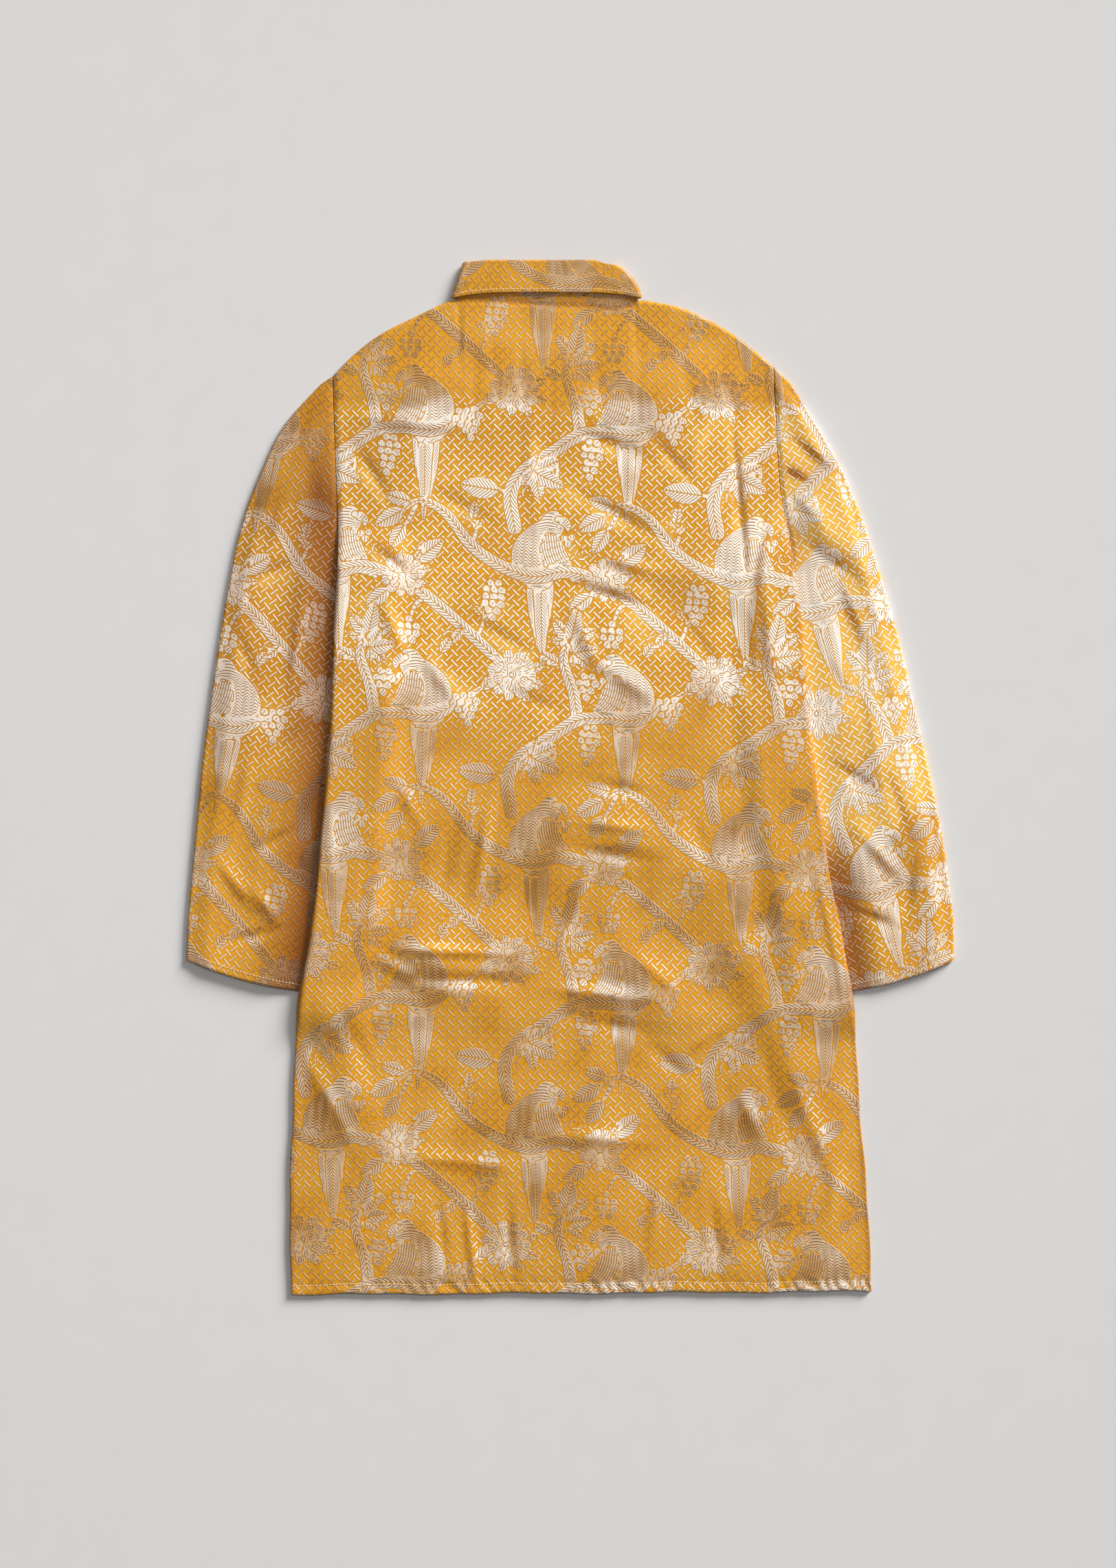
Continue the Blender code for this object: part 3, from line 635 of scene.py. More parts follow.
# The placket: two folded strips of the brocade sewn one over the other inside the box opening.
# The outer one has a buttonhole for each button, and the under one carries the buttons.
STRIP_HALF, STRIP_HEIGHT = 15, 1.9
STRIP_CUT = (40, 20)
LAYER = CLOTH_WALL + SEAM_GAP
FRONT_NECK = COLLAR_BASE + COLLAR_DIP + FRONT_DROP
STRIP_TOP, STRIP_BOTTOM = FRONT_NECK + 0.6, CHEST + 6
for name, height in (("placket_outer", STRIP_HEIGHT), ("placket_under", STRIP_HEIGHT + LAYER)):
    round_edge = [(0.35, 0.0), (0.1, 0.12), (0.0, 0.4), (0.0, 0.8), (0.1, 1.08), (0.35, 1.2)]
    half = [(STRIP_HALF - inset, drop) for inset, drop in round_edge]
    top_side = [(STRIP_HALF * k / 12, 0) for k in range(-11, 12)]
    ring = top_side + half + [(-a, CLOTH_WALL) for a, d in top_side]
    ring += [(-a, CLOTH_WALL - d) for a, d in half]
    ring.append(ring[0])
    lengths = [(STRIP_TOP + 0.6, 0.58), (STRIP_TOP + 0.15, 0.3), (STRIP_TOP, 0.12)]
    straight = STRIP_BOTTOM - STRIP_TOP - 0.2
    body_rows = [(STRIP_TOP + 0.1 + straight * k / 80, 0) for k in range(81)]
    ends = [(STRIP_TOP + STRIP_BOTTOM - down, squeeze) for down, squeeze in reversed(lengths)]
    rows = np.array(lengths + body_rows + ends)
    a = np.array([r[0] for r in ring])[None, :]
    d = np.array([r[1] for r in ring])[None, :]
    down, squeeze = rows[:, :1], rows[:, 1:]
    z = height + CLOTH_WALL - (d + (CLOTH_WALL / 2 - d) * squeeze * 1.7)
    strip = cloth_sheet(name, place(a, down, z), STRIP_CUT, a, down, HIDDEN_SHINE)
    rework(strip.data, fill_ends)
    fit(strip, name)

# Four buttons close the front: polished polyester, cast and turned to a raised rim and a
# shallow dish with four sewing holes, and sewn on with the gold thread of the seams.
BUTTON_SPACING, FIRST_BUTTON, BUTTONS = 36, 20, range(1, 5)


def two_shades(tree, shader, texture, dark, light, **pattern):
    """Colours a shader in two shades, and returns what mixes them through the solid."""
    where = add(tree, "TexCoord").outputs["Object"]
    mix = add(tree, texture, {"Vector": where, **pattern}).outputs["Fac"]
    feed(tree, shader, {"Base Color": add(tree, "MixRGB", [mix, dark, light])})
    return mix


# Cast polyester has a swirled, horn-like tone and a hard gloss that handling dulls in patches.
SWIRL = {"Scale": 260.0, "Detail": 3.0, "Distortion": 1.2}
resin, tree, shader = new_material("cast polyester", IOR=1.55)
swirl = two_shades(tree, shader, "TexNoise", "#B47D33", "#D9A85A", **SWIRL)
feed(tree, shader, {"Roughness": add(tree, "MapRange", [swirl, 0.0, 1.0, 0.18, 0.32])})
# Twisted polyester thread shines softly, and its plies cross it as fine bands of two shades.
PLIES = {"Scale": 900.0, "Distortion": 1.0}
gold_thread, tree, shader = new_material("gold polyester thread", Roughness=0.45)
two_shades(tree, shader, "TexWave", "#B47A22", "#E3B052", **PLIES)
# Radius and height on the turned face, from the middle of the dish over the rim to the back
PROFILE = [
    (0.0, 0.55), (2.6, 0.5), (3.5, 0.32), (4.1, 0.05), (4.7, 0.0), (5.3, 0.1),
    (5.65, 0.4), (5.75, 0.8), (5.6, 1.25), (5.1, 1.52), (4.2, 1.6), (0.0, 1.6),
]
HOLE_OFF, HOLE_HALF = 1.2, 0.55


def button_down(number):
    """How far down the placket a button lies."""
    return FRONT_NECK + FIRST_BUTTON + BUTTON_SPACING * (number - 1)


def set_down(name, bm, material, spot):
    """An object from a mesh made in mm, set down at a spot of the garment."""
    grow = Matrix.Translation(Vector(spot)) @ Matrix.Scale(0.001, 4)
    bmesh.ops.transform(bm, matrix=grow, verts=bm.verts)
    return put_in_scene(name, into_mesh(name, bm), material)


for number in BUTTONS:
    spot = place(0, button_down(number), 0)
    bm = bmesh.new()
    outline = [bm.verts.new((r, 0, z)) for r, z in PROFILE]
    edges = [bm.edges.new(pair) for pair in zip(outline, outline[1:])]
    full = {"cent": (0, 0, 0), "axis": (0, 0, 1), "angle": 2 * math.pi, "steps": 40}
    bmesh.ops.spin(bm, geom=outline + edges, use_merge=True, **full)
    bmesh.ops.remove_doubles(bm, verts=bm.verts, dist=0.01)
    bmesh.ops.recalc_face_normals(bm, faces=bm.faces)
    button = set_down("sewn_button_%d" % number, bm, resin, spot)
    drills = bmesh.new()
    threads = bmesh.new()
    for off in (-HOLE_OFF, HOLE_OFF):
        for side in (-HOLE_OFF, HOLE_OFF):
            at = Matrix.Translation((side, off, 1))
            radii = {"radius1": HOLE_HALF, "radius2": HOLE_HALF, "depth": 4}
            bmesh.ops.create_cone(drills, cap_ends=True, segments=12, matrix=at, **radii)
        at = Matrix.Translation((0, off, 0.5)) @ Matrix.Diagonal((1.55, 0.4, 0.34, 1))
        bmesh.ops.create_uvsphere(threads, u_segments=12, v_segments=8, radius=1, matrix=at)
    drill = set_down("drill", drills, resin, spot)
    cut = button.modifiers.new("holes", "BOOLEAN")
    cut.operation, cut.solver, cut.object = "DIFFERENCE", "EXACT", drill
    bpy.context.view_layer.update()
    solid = button.evaluated_get(bpy.context.evaluated_depsgraph_get())
    drilled = bpy.data.meshes.new_from_object(solid)
    button.modifiers.clear()
    button.data = drilled
    bpy.data.objects.remove(drill)
    drilled.shade_smooth()
    fit(button, "button_%d" % number)
    sewing = set_down("button_thread_%d" % number, threads, gold_thread, spot)
    sewing.data.shade_smooth()
    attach(sewing, "root")

# The back panel: one piece of the brocade from the neck to the hem, the side that shows. Its
# sides are seamed to the front down to the slits, and its hem and slit edges are turned under.
RIM, RIM_BASE, SLIT_EDGE, NECK_EDGE, NECK_TUCK = 2.7, 0.7, 1.7, 2.2, 5.4
Loft = namedtuple("Loft", "down height")
LOFT = rows_of(
    Loft,
    (20, 0.0), (60, 2.2), (98, 4.0), (150, 3.0), (250, 1.8), (380, 1.2), (500, 0.8), (620, 0.5),
    (704, 0.2),
)
Fold = namedtuple("Fold", "across down turn length width height")
BACK_FOLDS = rows_of(
    Fold,
    (-60, 92, 80, 70, 16, 0.9), (70, 96, 100, 60, 15, 1.0), (79, 236, 60, 45, 20, -1.4),
    (128, 250, 4, 80, 12, -1.5), (-112, 300, -8, 90, 18, 1.2), (-40, 350, 70, 80, 22, -1.1),
    (45, 390, 65, 100, 20, 1.3), (-12, 445, 75, 110, 26, -1.5), (-95, 478, 60, 50, 18, 1.3),
    (52, 490, 40, 55, 18, 1.6), (132, 500, 20, 60, 16, 1.8), (105, 585, 10, 80, 18, -1.0),
    (-150, 560, 15, 70, 18, 1.4), (10, 620, -8, 80, 20, 1.2), (-75, 630, 5, 70, 18, -0.8),
)


def back_top(across):
    """Down to the back panel's upper edge, which is tucked under the collar between the shoulders."""
    tucked = COLLAR_BASE - NECK_TUCK
    neck = tucked + (NECK_END_DOWN - tucked) * smooth((np.abs(across) - 56) / 4)
    return np.where(np.abs(across) > NECK_END, shoulder_line(across), neck)


def armhole_ditch(away, down):
    """How far both cloths sink towards the armhole's seam, by the distance from it."""
    return 0.8 * (1 - smooth(away / 3.5)) * (1 - smooth((down - UNDERARM + 20) / 20))


def back_height(across, down, below_top):
    """Height of the back panel's upper face."""
    inside = np.maximum(inside_edge(across, down), 0)
    seam = smooth((down - UNDERARM + 12) / 12) * (1 - smooth((down - SLIT) / 20))
    slit = smooth((down - SLIT) / 25)
    hem = smooth((down - LENGTH + 25) / 25)
    roll = np.sqrt(1 - (1 - np.minimum(inside / RIM, 1)) ** 2)
    rise = RIM * (1 - seam * (1 - roll)) + RIM_BASE * seam
    rise = rise - slit * (RIM - SLIT_EDGE) * (1 - smooth(inside / 25))
    rise = rise - armhole_ditch(inside, down)
    rise = rise - hem * (rise - SLIT_EDGE) * smooth(inside / 3)
    over = np.sqrt(1 - (1 - np.clip(below_top / RIM, 0, 1)) ** 2)
    shoulder = (rise - RIM_BASE) * over + RIM_BASE
    neck = rise - (rise - NECK_EDGE) * (1 - smooth(below_top / 30))
    rise = np.where(np.abs(across) > NECK_HALF, shoulder, neck)
    calm = smooth(inside / 60) * smooth(below_top / 50)
    loft = through([row.down for row in LOFT], [row.height for row in LOFT], down) * calm
    folds = folds_at(BACK_FOLDS, across, down)
    folds = folds * smooth(inside / 20) * smooth(below_top / 25) * (1 - 0.6 * hem)
    return front_lift(across, down) + LAYER + rise + loft + folds


CREASES = rows_of(
    Fold,
    (-51, 84, -4, 22, 3.2, -0.5), (-37, 74, 3, 26, 3.2, -0.4), (-18, 82, 2, 24, 3.6, -0.5),
    (1, 86, -3, 20, 3.2, -0.4), (33, 78, 4, 26, 3.6, -0.5), (61, 80, -5, 22, 3.2, -0.4),
    (94, 86, 8, 20, 4, -0.5), (122, 92, 14, 18, 4, -0.5), (-94, 110, 84, 34, 6.4, 0.9),
    (-123, 146, 30, 18, 4.8, -0.8), (-112, 206, 50, 14, 4.8, -0.8), (-63, 169, 60, 22, 6.4, -0.6),
    (-14, 140, 2, 40, 5.6, 0.5), (41, 127, 70, 20, 4.8, -0.8), (80, 135, 40, 16, 4, -0.6),
    (98, 128, -30, 14, 4, 0.6), (44, 175, 60, 26, 4.8, -0.9), (50, 207, 75, 15, 4.8, 0.9),
    (37, 230, 72, 20, 4.8, -1.3), (20, 260, 20, 17, 5.6, 0.9), (46, 286, 52, 20, 6.4, 0.9),
    (-80, 286, 35, 20, 5.6, 0.7), (-112, 250, 20, 20, 4.8, 0.6), (-42, 255, 60, 20, 4.8, -0.5),
    (-20, 300, 70, 16, 4.8, -0.5), (96, 262, 35, 18, 4.8, -0.6), (106, 288, -20, 18, 4, 0.5),
    (126, 172, 3, 44, 3.2, -1.1), (136, 206, -12, 26, 4, -0.9), (143, 250, 4, 36, 4.8, 0.7),
    (128, 262, 3, 30, 3.6, -0.6), (-56, 398, -12, 32, 4.8, 1.0), (-82, 410, -15, 30, 6.4, -0.9),
    (-104, 372, 25, 18, 4.8, 0.5), (-30, 432, -30, 26, 6.4, -0.8), (4, 442, -22, 32, 4.8, 1.0),
    (38, 360, 80, 16, 4.8, -0.8), (34, 385, 84, 16, 4, 0.8), (35, 405, 82, 20, 4.8, -0.8),
    (62, 424, -40, 18, 4.8, 0.6), (92, 398, 20, 20, 5.6, -0.5), (-80, 470, 88, 28, 4, 1.1),
    (-72, 490, 88, 30, 4.8, -1.1), (-118, 482, 60, 16, 4.8, 0.5), (20, 499, 84, 24, 5.2, 1.3),
    (24, 520, 80, 26, 6.4, -0.9), (58, 484, 50, 16, 4.8, 0.7), (92, 527, -55, 20, 4.8, 0.7),
    (64, 545, 50, 14, 5.6, -0.7), (118, 580, 20, 14, 5.6, 0.8), (88, 566, -30, 16, 4.8, -0.6),
    (128, 452, -40, 18, 4.8, -0.7), (150, 466, -32, 30, 5.6, -0.8), (140, 484, -35, 16, 4, 0.5),
    (181, 462, 12, 36, 4.8, 1.1), (160, 585, 20, 34, 6.4, 0.8), (137, 571, 15, 30, 6.4, -0.6),
    (174, 632, -14, 24, 5.6, 0.6), (16, 597, 86, 32, 5.6, 0.8), (-80, 613, 84, 26, 4.8, 0.8),
    (-74, 668, 5, 22, 3.2, 0.8), (-94, 664, 4, 24, 4, -0.6), (-48, 666, 2, 26, 4, -0.6),
    (52, 650, -8, 24, 4.8, 0.5), (92, 660, 6, 22, 4, -0.5), (-162, 384, 3, 40, 4.8, 0.7),
    (-138, 430, -12, 26, 5.6, -0.6), (-170, 566, 26, 34, 5.6, 0.8),
    (-146, 536, 24, 26, 5.6, -0.6), (-118, 600, -20, 20, 4.8, -0.5),
)
# Painted highlights on the pale yarn along some folds
GLEAMS = rows_of(
    Fold,
    (-94, 113, 84, 34, 10, 0.2), (150, 215, 3, 80, 20, 0.3), (-150, 390, 0, 60, 16, 0.25),
    (-80, 468, 88, 28, 7, 0.3), (20, 497, 84, 24, 9, 0.4), (181, 462, 12, 36, 9, 0.4),
    (16, 594, 86, 32, 8, 0.2), (-80, 611, 84, 26, 8, 0.2), (-72, 672, 6, 20, 6, 0.2),
    (160, 585, 20, 34, 14, 0.3), (-56, 398, -12, 32, 8, 0.2), (118, 580, 20, 14, 8, 0.3),
)
HEM_SEAM = 6.5  # the stitches run this far above the hem
# Across and down along the seam that joins the collar's stand to the panel
NECK_SEAM = [(-63, 25), (-35, 27), (-7, 29.3), (12, 30.7), (30, 31.6), (49, 32.6), (63, 29)]


def stand_groove(across, down, half):
    """The groove at the stand's seam, how far above it a place is, and where the stand ends."""
    above = np.interp(across, *zip(*NECK_SEAM)) - down
    return np.exp(-((above / half) ** 2)), above, smooth((64 - np.abs(across)) / 6)


def fine_height(across, down):
    """Creases, and the puckers of the hem's stitching, over the panel's large folds."""
    creases = 0.55 * folds_at(CREASES, across, down) * smooth((inside_edge(across, down) - 2) / 8)
    above = hem_line(across) - down
    seam = -0.25 * np.exp(-(((above - HEM_SEAM) / 1.3) ** 2))
    groove, _, width = stand_groove(across, down, 1.7)
    return creases + seam - 0.6 * groove * width + hem_puckers(across, above)


def hem_puckers(across, above):
    """Short slanting wrinkles where the stitching draws the hem in, in uneven groups."""
    gather = 0.35 + 0.65 * smooth(0.5 + 0.5 * np.sin(across / 23 + 1.2 * np.sin(across / 51)))
    uneven = 2 * np.sin(across / 9.7) + 1.3 * np.sin(across / 3.9 + 1)
    wrinkle = np.sin((across + 0.7 * above) / 1.35 + uneven)
    return 0.45 * gather * wrinkle * np.exp(-(((above - HEM_SEAM + 2) / 6) ** 2))


def hem_gleam(across, down):
    """A painted highlight on the pale yarn along the hem's wrinkles, mostly right of the middle."""
    above = hem_line(across) - down
    strip = smooth((HEM_SEAM + 1.5 - above) / 2)
    spread = 0.15 + 0.85 * smooth((across + 50) / 30)
    return strip * spread * (0.3 + 1.3 * hem_puckers(across, above))


def shine_at(across, down, begins=92, ends=288, fade=55):
    """How much painted sheen the pale yarn gets: most from below the shoulders to the waist."""
    begins = begins + 4 * np.sin(across / 21 + 1) + 2.5 * np.sin(across / 8.3)
    ends = ends + 15 * np.sin(across / 29 + 2.2) + 7 * np.sin(across / 10.7 + down / 15)
    whole = smooth((down - begins) / 12) * (1 - 0.85 * smooth((down - ends) / fade))
    return np.clip(0.1 + 0.8 * whole + folds_at(GLEAMS, across, down), 0, 1)


def facing(relief, across, down):
    """How steeply the cloth's relief faces the key light, at the upper right."""
    return relief(across - 0.6, down + 0.8) - relief(across, down)


def back_relief(across, down):
    """The folds and creases whose slopes get painted sheen and painted shade."""
    return 0.5 * folds_at(BACK_FOLDS, across, down) + folds_at(CREASES, across, down)


PATTERN_LEAN = 0.045  # the cloth was cut a little off its grain
BACK_CUT = (-86, 39)
back_columns = [(k / 118, 2.7 * k / 118, 0) for k in range(1, 119)] + edge_columns((1.9, 1.2))
back_rows = edge_rows((1.2, 1.9, 2.7)) + [(k / 112, 2.7, 0) for k in range(1, 113)]
back_rows += [(1 + k / 250, 0.6 * (k / 250), 0) for k in range(1, 250)] + HEM_ROWS
back_columns = whole_width(back_columns, [(0, 0, 0)])
across, down, below_top, turn = panel_grid(back_columns, back_rows, back_top)
height = back_height(across, down, below_top) + fine_height(across, down)
deep = np.minimum(CLOTH_WALL, height - front_lift(across, down) - CLOTH_WALL - 0.15)
inside = inside_edge(across, down)
back_points = place(across, down, height - turn * deep)
# painted sheen and painted shade on crease slopes, by how they face the key light
lean = facing(back_relief, across, down) * smooth((inside - 4) / 6) * smooth((below_top - 4) / 10)
whole = 0.3 + 0.7 * smooth((down - 90) / 20)
shine = np.clip(shine_at(across, down) + 4.5 * whole * lean + hem_gleam(across, down), 0, 1.1)
groove, above, width = stand_groove(across, down, 1.5)
# painted shade along the panel's side edges
shade = (0.12 + 0.28 * smooth((down - 120) / 60)) * (1 - smooth(inside / 5))
shade = shade + np.clip(-2.6 * whole * lean, 0, 0.32)
# painted shade in the groove at the stand's seam and in the band between it and the collar's lower edge
shade = shade + (0.5 * groove + 0.28 * smooth(above / 2)) * width
back_u, back_v = across + PATTERN_LEAN * down, down - 0.6 * PATTERN_LEAN * across
back = cloth_sheet("back", back_points, BACK_CUT, back_u, back_v, shine, shade)
fit(back, "back")

# The sleeves: each one piece of the brocade, sewn to a tube along the underarm, set into the
# armhole and pressed flat. The hem at the cuff is turned inside and stitched.
SLEEVE = rows_of(
    Side,
    (84, 155.5, 164.4), (112, 181.2, 180.7), (140, 196.1, 196.0), (168, 208.3, 206.9),
    (196, 217.2, 215.8), (252, 229.3, 230.2), (336, 244.2, 247.0), (392, 251.7, 256.4),
    (448, 258.7, 262.0), (476, 260.8, 261.4),
)
CUFF_BOW, TUCKED, TUCK_START = 5, 23, 95
SLEEVE_FOLD, TUCKED_FOLD, SLEEVE_LOFT, SEAM_LOFT = 1.7, 1.35, 2.0, 1.5
CLEAR, SEAM_SHARE = 4, 0.1
ARMHOLE_GAP = 0.08  # the seam is drawn tight, so the two cloths nearly touch
SLEEVE_GRAIN = 10  # degrees that the sleeve's grain turns outwards
GRAIN_ACROSS, GRAIN_DOWN = 200, 250  # where the grain turns about
LEFT_CUT, RIGHT_CUT = (-14, 281), (68, 269)
OVER, UNDER, BEND = 74, 56, 8  # points over a sleeve, under it and round each fold
CUFF_SEAM = 0.986  # the share of the way to the cuff where the stitching runs
SLEEVE_FOLDS = rows_of(
    Fold,
    (-175, 150, -35, 40, 12, 1.1), (-190, 232, -20, 60, 13, -1.3), (-208, 300, -12, 60, 14, 1.4),
    (-222, 405, -10, 60, 12, -1.0), (172, 132, 45, 30, 11, -1.5), (184, 185, 50, 32, 11, 1.4),
    (200, 262, 15, 60, 14, -1.3), (218, 345, 12, 60, 14, 1.5), (226, 425, 8, 50, 12, -1.0),
)
SLEEVE_CREASES = rows_of(
    Fold,
    (-170, 118, -30, 16, 4, -0.7), (-186, 176, -20, 22, 4.8, 0.6),
    (-196, 214, -60, 14, 4.8, -0.7), (-178, 262, -10, 26, 4, 0.7), (-214, 268, 20, 18, 4.8, -0.5),
    (-190, 330, -40, 16, 4.8, -0.6), (-216, 356, -15, 24, 4.8, 0.7),
    (-200, 396, -60, 14, 4, -0.6), (-225, 424, 35, 15, 4.8, 1.0), (-208, 436, 35, 13, 4.8, 0.9),
    (-214, 460, -75, 18, 4, -0.5), (161, 148, 65, 12, 4.8, -1.5), (172, 166, 40, 16, 4.8, 0.9),
    (156, 190, 15, 16, 4.8, -1.5), (180, 130, 50, 14, 4, 0.7), (186, 206, 55, 18, 4.8, -0.7),
    (202, 238, 20, 24, 4.8, 0.7), (188, 286, 30, 18, 4.8, -0.6), (212, 312, 5, 26, 4.8, 0.6),
    (196, 352, 60, 16, 4.8, -0.7), (226, 372, 15, 22, 4.8, -0.6), (214, 404, 40, 16, 4.8, 0.9),
    (232, 428, -10, 18, 4, -0.6), (206, 448, 70, 14, 4, -0.7),
)
# Where the sleeve's head is drawn in at the seam, the cloth gets a painted shadow
DENT_SHADOWS = rows_of(
    Fold,
    (169, 145, 80, 15, 10, 0.34), (162, 190, 10, 16, 7, 0.34), (-160, 150, 0, 20, 6, 0.2),
)


def sleeve_relief(across, down):
    return 0.6 * folds_at(SLEEVE_FOLDS, across, down) + folds_at(SLEEVE_CREASES, across, down)


def sleeve_top(sign, x, y, from_fold):
    """Height of the sleeve's upper layer: low where it lies under the body, and full outside it."""
    outside = x - side_read(BODY, sign, y)
    seam_loft = SEAM_LOFT * (1 - smooth((y - 150) / 50))
    free = smooth((outside - CLEAR) / 22)
    folds = (folds_at(SLEEVE_FOLDS, sign * x, y) + 0.6 * folds_at(SLEEVE_CREASES, sign * x, y)) * free
    raised = seam_loft + (SLEEVE_LOFT - seam_loft) * free
    base = 2 * (TUCKED_FOLD + (SLEEVE_FOLD - TUCKED_FOLD) * (1 - smooth(from_fold / 40)))
    return base + smooth((from_fold - SLEEVE_FOLD) / 14) * (raised + folds - armhole_ditch(outside, y))


def sleeve_ring(sign, share, inset):
    """Across, down and height round the flattened sleeve, at a share of the way to the cuff,
    whether each point is on the underside, and how far across the outer fold lies."""

    def read(table, at):
        return float(side_read(table, sign, at))

    start = float(shoulder_line(np.array(sign * read(BODY, BODY[0].down))))
    outer_down = start + (SLEEVE[-1].down - start) * share
    inner_down = UNDERARM + (CUFF_INNER - UNDERARM) * share
    edge_start = read(BODY, start) + SEAM_GAP
    edge_end = read(BODY, UNDERARM) + SEAM_GAP
    if outer_down < SLEEVE[0].down:
        head = (outer_down - start) / (SLEEVE[0].down - start)
        outer_across = edge_start + (read(SLEEVE, SLEEVE[0].down) - edge_start) * head
    else:
        outer_across = read(SLEEVE, outer_down)
    tuck = TUCKED * float(smooth((inner_down - UNDERARM - 5) / TUCK_START))
    inner_across = read(BODY, inner_down) + SEAM_GAP - tuck
    width = math.hypot(inner_across - outer_across, inner_down - outer_down)
    flat_top = np.linspace(width - TUCKED_FOLD, SLEEVE_FOLD, OVER + 1)[:-1]
    flat_under = np.linspace(SLEEVE_FOLD, width - TUCKED_FOLD, UNDER + 1)[:-1]
    bend = np.pi * np.arange(BEND) / BEND
    outer_reach = SLEEVE_FOLD - inset
    inner_reach = TUCKED_FOLD - inset
    outer_bend = SLEEVE_FOLD - outer_reach * np.sin(bend)
    inner_bend = width - TUCKED_FOLD + inner_reach * np.sin(bend)
    distance = np.concatenate([flat_top, outer_bend, flat_under, inner_bend, flat_top[:1]])
    outer_bend = SLEEVE_FOLD + outer_reach * np.cos(bend)
    inner_bend = TUCKED_FOLD - inner_reach * np.cos(bend)
    flat_under = np.full(UNDER, float(inset))
    height = np.concatenate([np.zeros(OVER), outer_bend, flat_under, inner_bend, [0.0]])
    is_top = np.zeros(len(distance), bool)
    is_top[:OVER] = True
    is_top[-1] = True
    part = distance / width
    x = outer_across + (inner_across - outer_across) * part
    y = outer_down + (inner_down - outer_down) * part
    y = y + CUFF_BOW * 4 * part * (1 - part) * share * share
    chord_x = edge_start + (edge_end - edge_start) * part
    chord_y = start + (UNDERARM - start) * part
    curve = side_read(BODY, sign, chord_y) + ARMHOLE_GAP - chord_x
    x = x + curve * (1 - smooth(share / SEAM_SHARE))
    top = sleeve_top(sign, x, y, distance) - inset
    height = np.where(is_top, top, height)
    below = np.zeros(len(distance))
    below[OVER + BEND // 2 : OVER + BEND + UNDER + BEND // 2] = 1
    return sign * x, y, height, below, np.full(len(distance), outer_across)


cuff_rows = []
for sign, name in ((-1, "sleeve_left"), (1, "sleeve_right")):
    shares = [(k / 250) ** 1.2 for k in range(251)]
    rings = [(0.02, 0.9), (0.004, 0.9), (0.001, 0.6), (0.0, 0.25)]
    rings += [(share, 0.0) for share in shares[1:-1]]
    rings += [(0.9995, 0.0), (1.0, 0.3), (0.9995, 0.7), (0.997, 0.95), (0.965, 0.95)]
    if sign < 0:
        rings.reverse()
    table = [sleeve_ring(sign, share, inset) for share, inset in rings]
    across, down, height, below, fold_at = [np.array(column) for column in zip(*table)]
    middle, grain = sign * GRAIN_ACROSS, -sign * SLEEVE_GRAIN
    p, q = turned(across - middle, down - GRAIN_DOWN, grain)
    fold_p, _ = turned(sign * fold_at - middle, down - GRAIN_DOWN, grain)
    u = np.where(below > 0, 2 * fold_p - p, p)
    # where the band of painted sheen lies on each sleeve
    begins, ends, fade = (165, 300, 50) if sign < 0 else (88, 378, 30)
    outside = -inside_edge(across, down)
    # painted sheen and painted shade on fold slopes, by how they face the key light
    lean = facing(sleeve_relief, across, down) * (1 - below) * smooth((outside - 2) / 8)
    dent_shadow = folds_at(DENT_SHADOWS, across, down)
    # painted sheen, stronger over the right sleeve and less in the dent shadows
    brighter = -0.5 * dent_shadow
    if sign > 0:
        brighter = brighter + 0.55 * smooth((down - 95) / 20) * (1 - 0.3 * smooth((down - 372) / 40))
    shine = np.clip(shine_at(across, down, begins, ends, fade) + brighter + 4 * lean, 0, 1.5)
    # painted shade on each sleeve beside the body's edge, where the body shadows it, and over the left
    # sleeve's upper part
    if sign < 0:
        deepest = 0.3 + 0.5 * smooth((down - 105) / 70)
        dim, reach = 0.22 * (1 - smooth((down - 300) / 80)), 34
    else:
        deepest = 0.8 * smooth((down - 370) / 50)
        dim, reach = 0, 20
    shade = dim + (deepest - dim) * (1 - smooth((outside - 6) / reach))
    shade = (shade + dent_shadow) * (1 - below) + np.clip(-3.5 * lean, 0, 0.45)
    points = place(across, down, height)
    cuff_ring = min(rings, key=lambda ring: abs(ring[0] - CUFF_SEAM))
    cuff_rows.append(points[rings.index(cuff_ring), 2 : OVER - 2])
    obj = cloth_sheet(name, points, LEFT_CUT if sign < 0 else RIGHT_CUT, u, q, shine, shade)
    fit(obj, name)

# The collar: a short standing band of doubled brocade over a stiffening, folded flat at both
# corners, with its seam edge turned in and topstitched. The pattern runs along it.
BAND_WALL, BAND_FOLD, BAND_SLIT, BAND_HIGH = 2.0, 3.05, 1.2, 24
# the collar's painted sheen is low
COLLAR_CUT, COLLAR_SHINE = (30, 66), 0.08
TOP_LEFT, TOP_RIGHT, ROUND_LEFT, ROUND_RIGHT = 55.5, 47.5, 1.0, 1.8


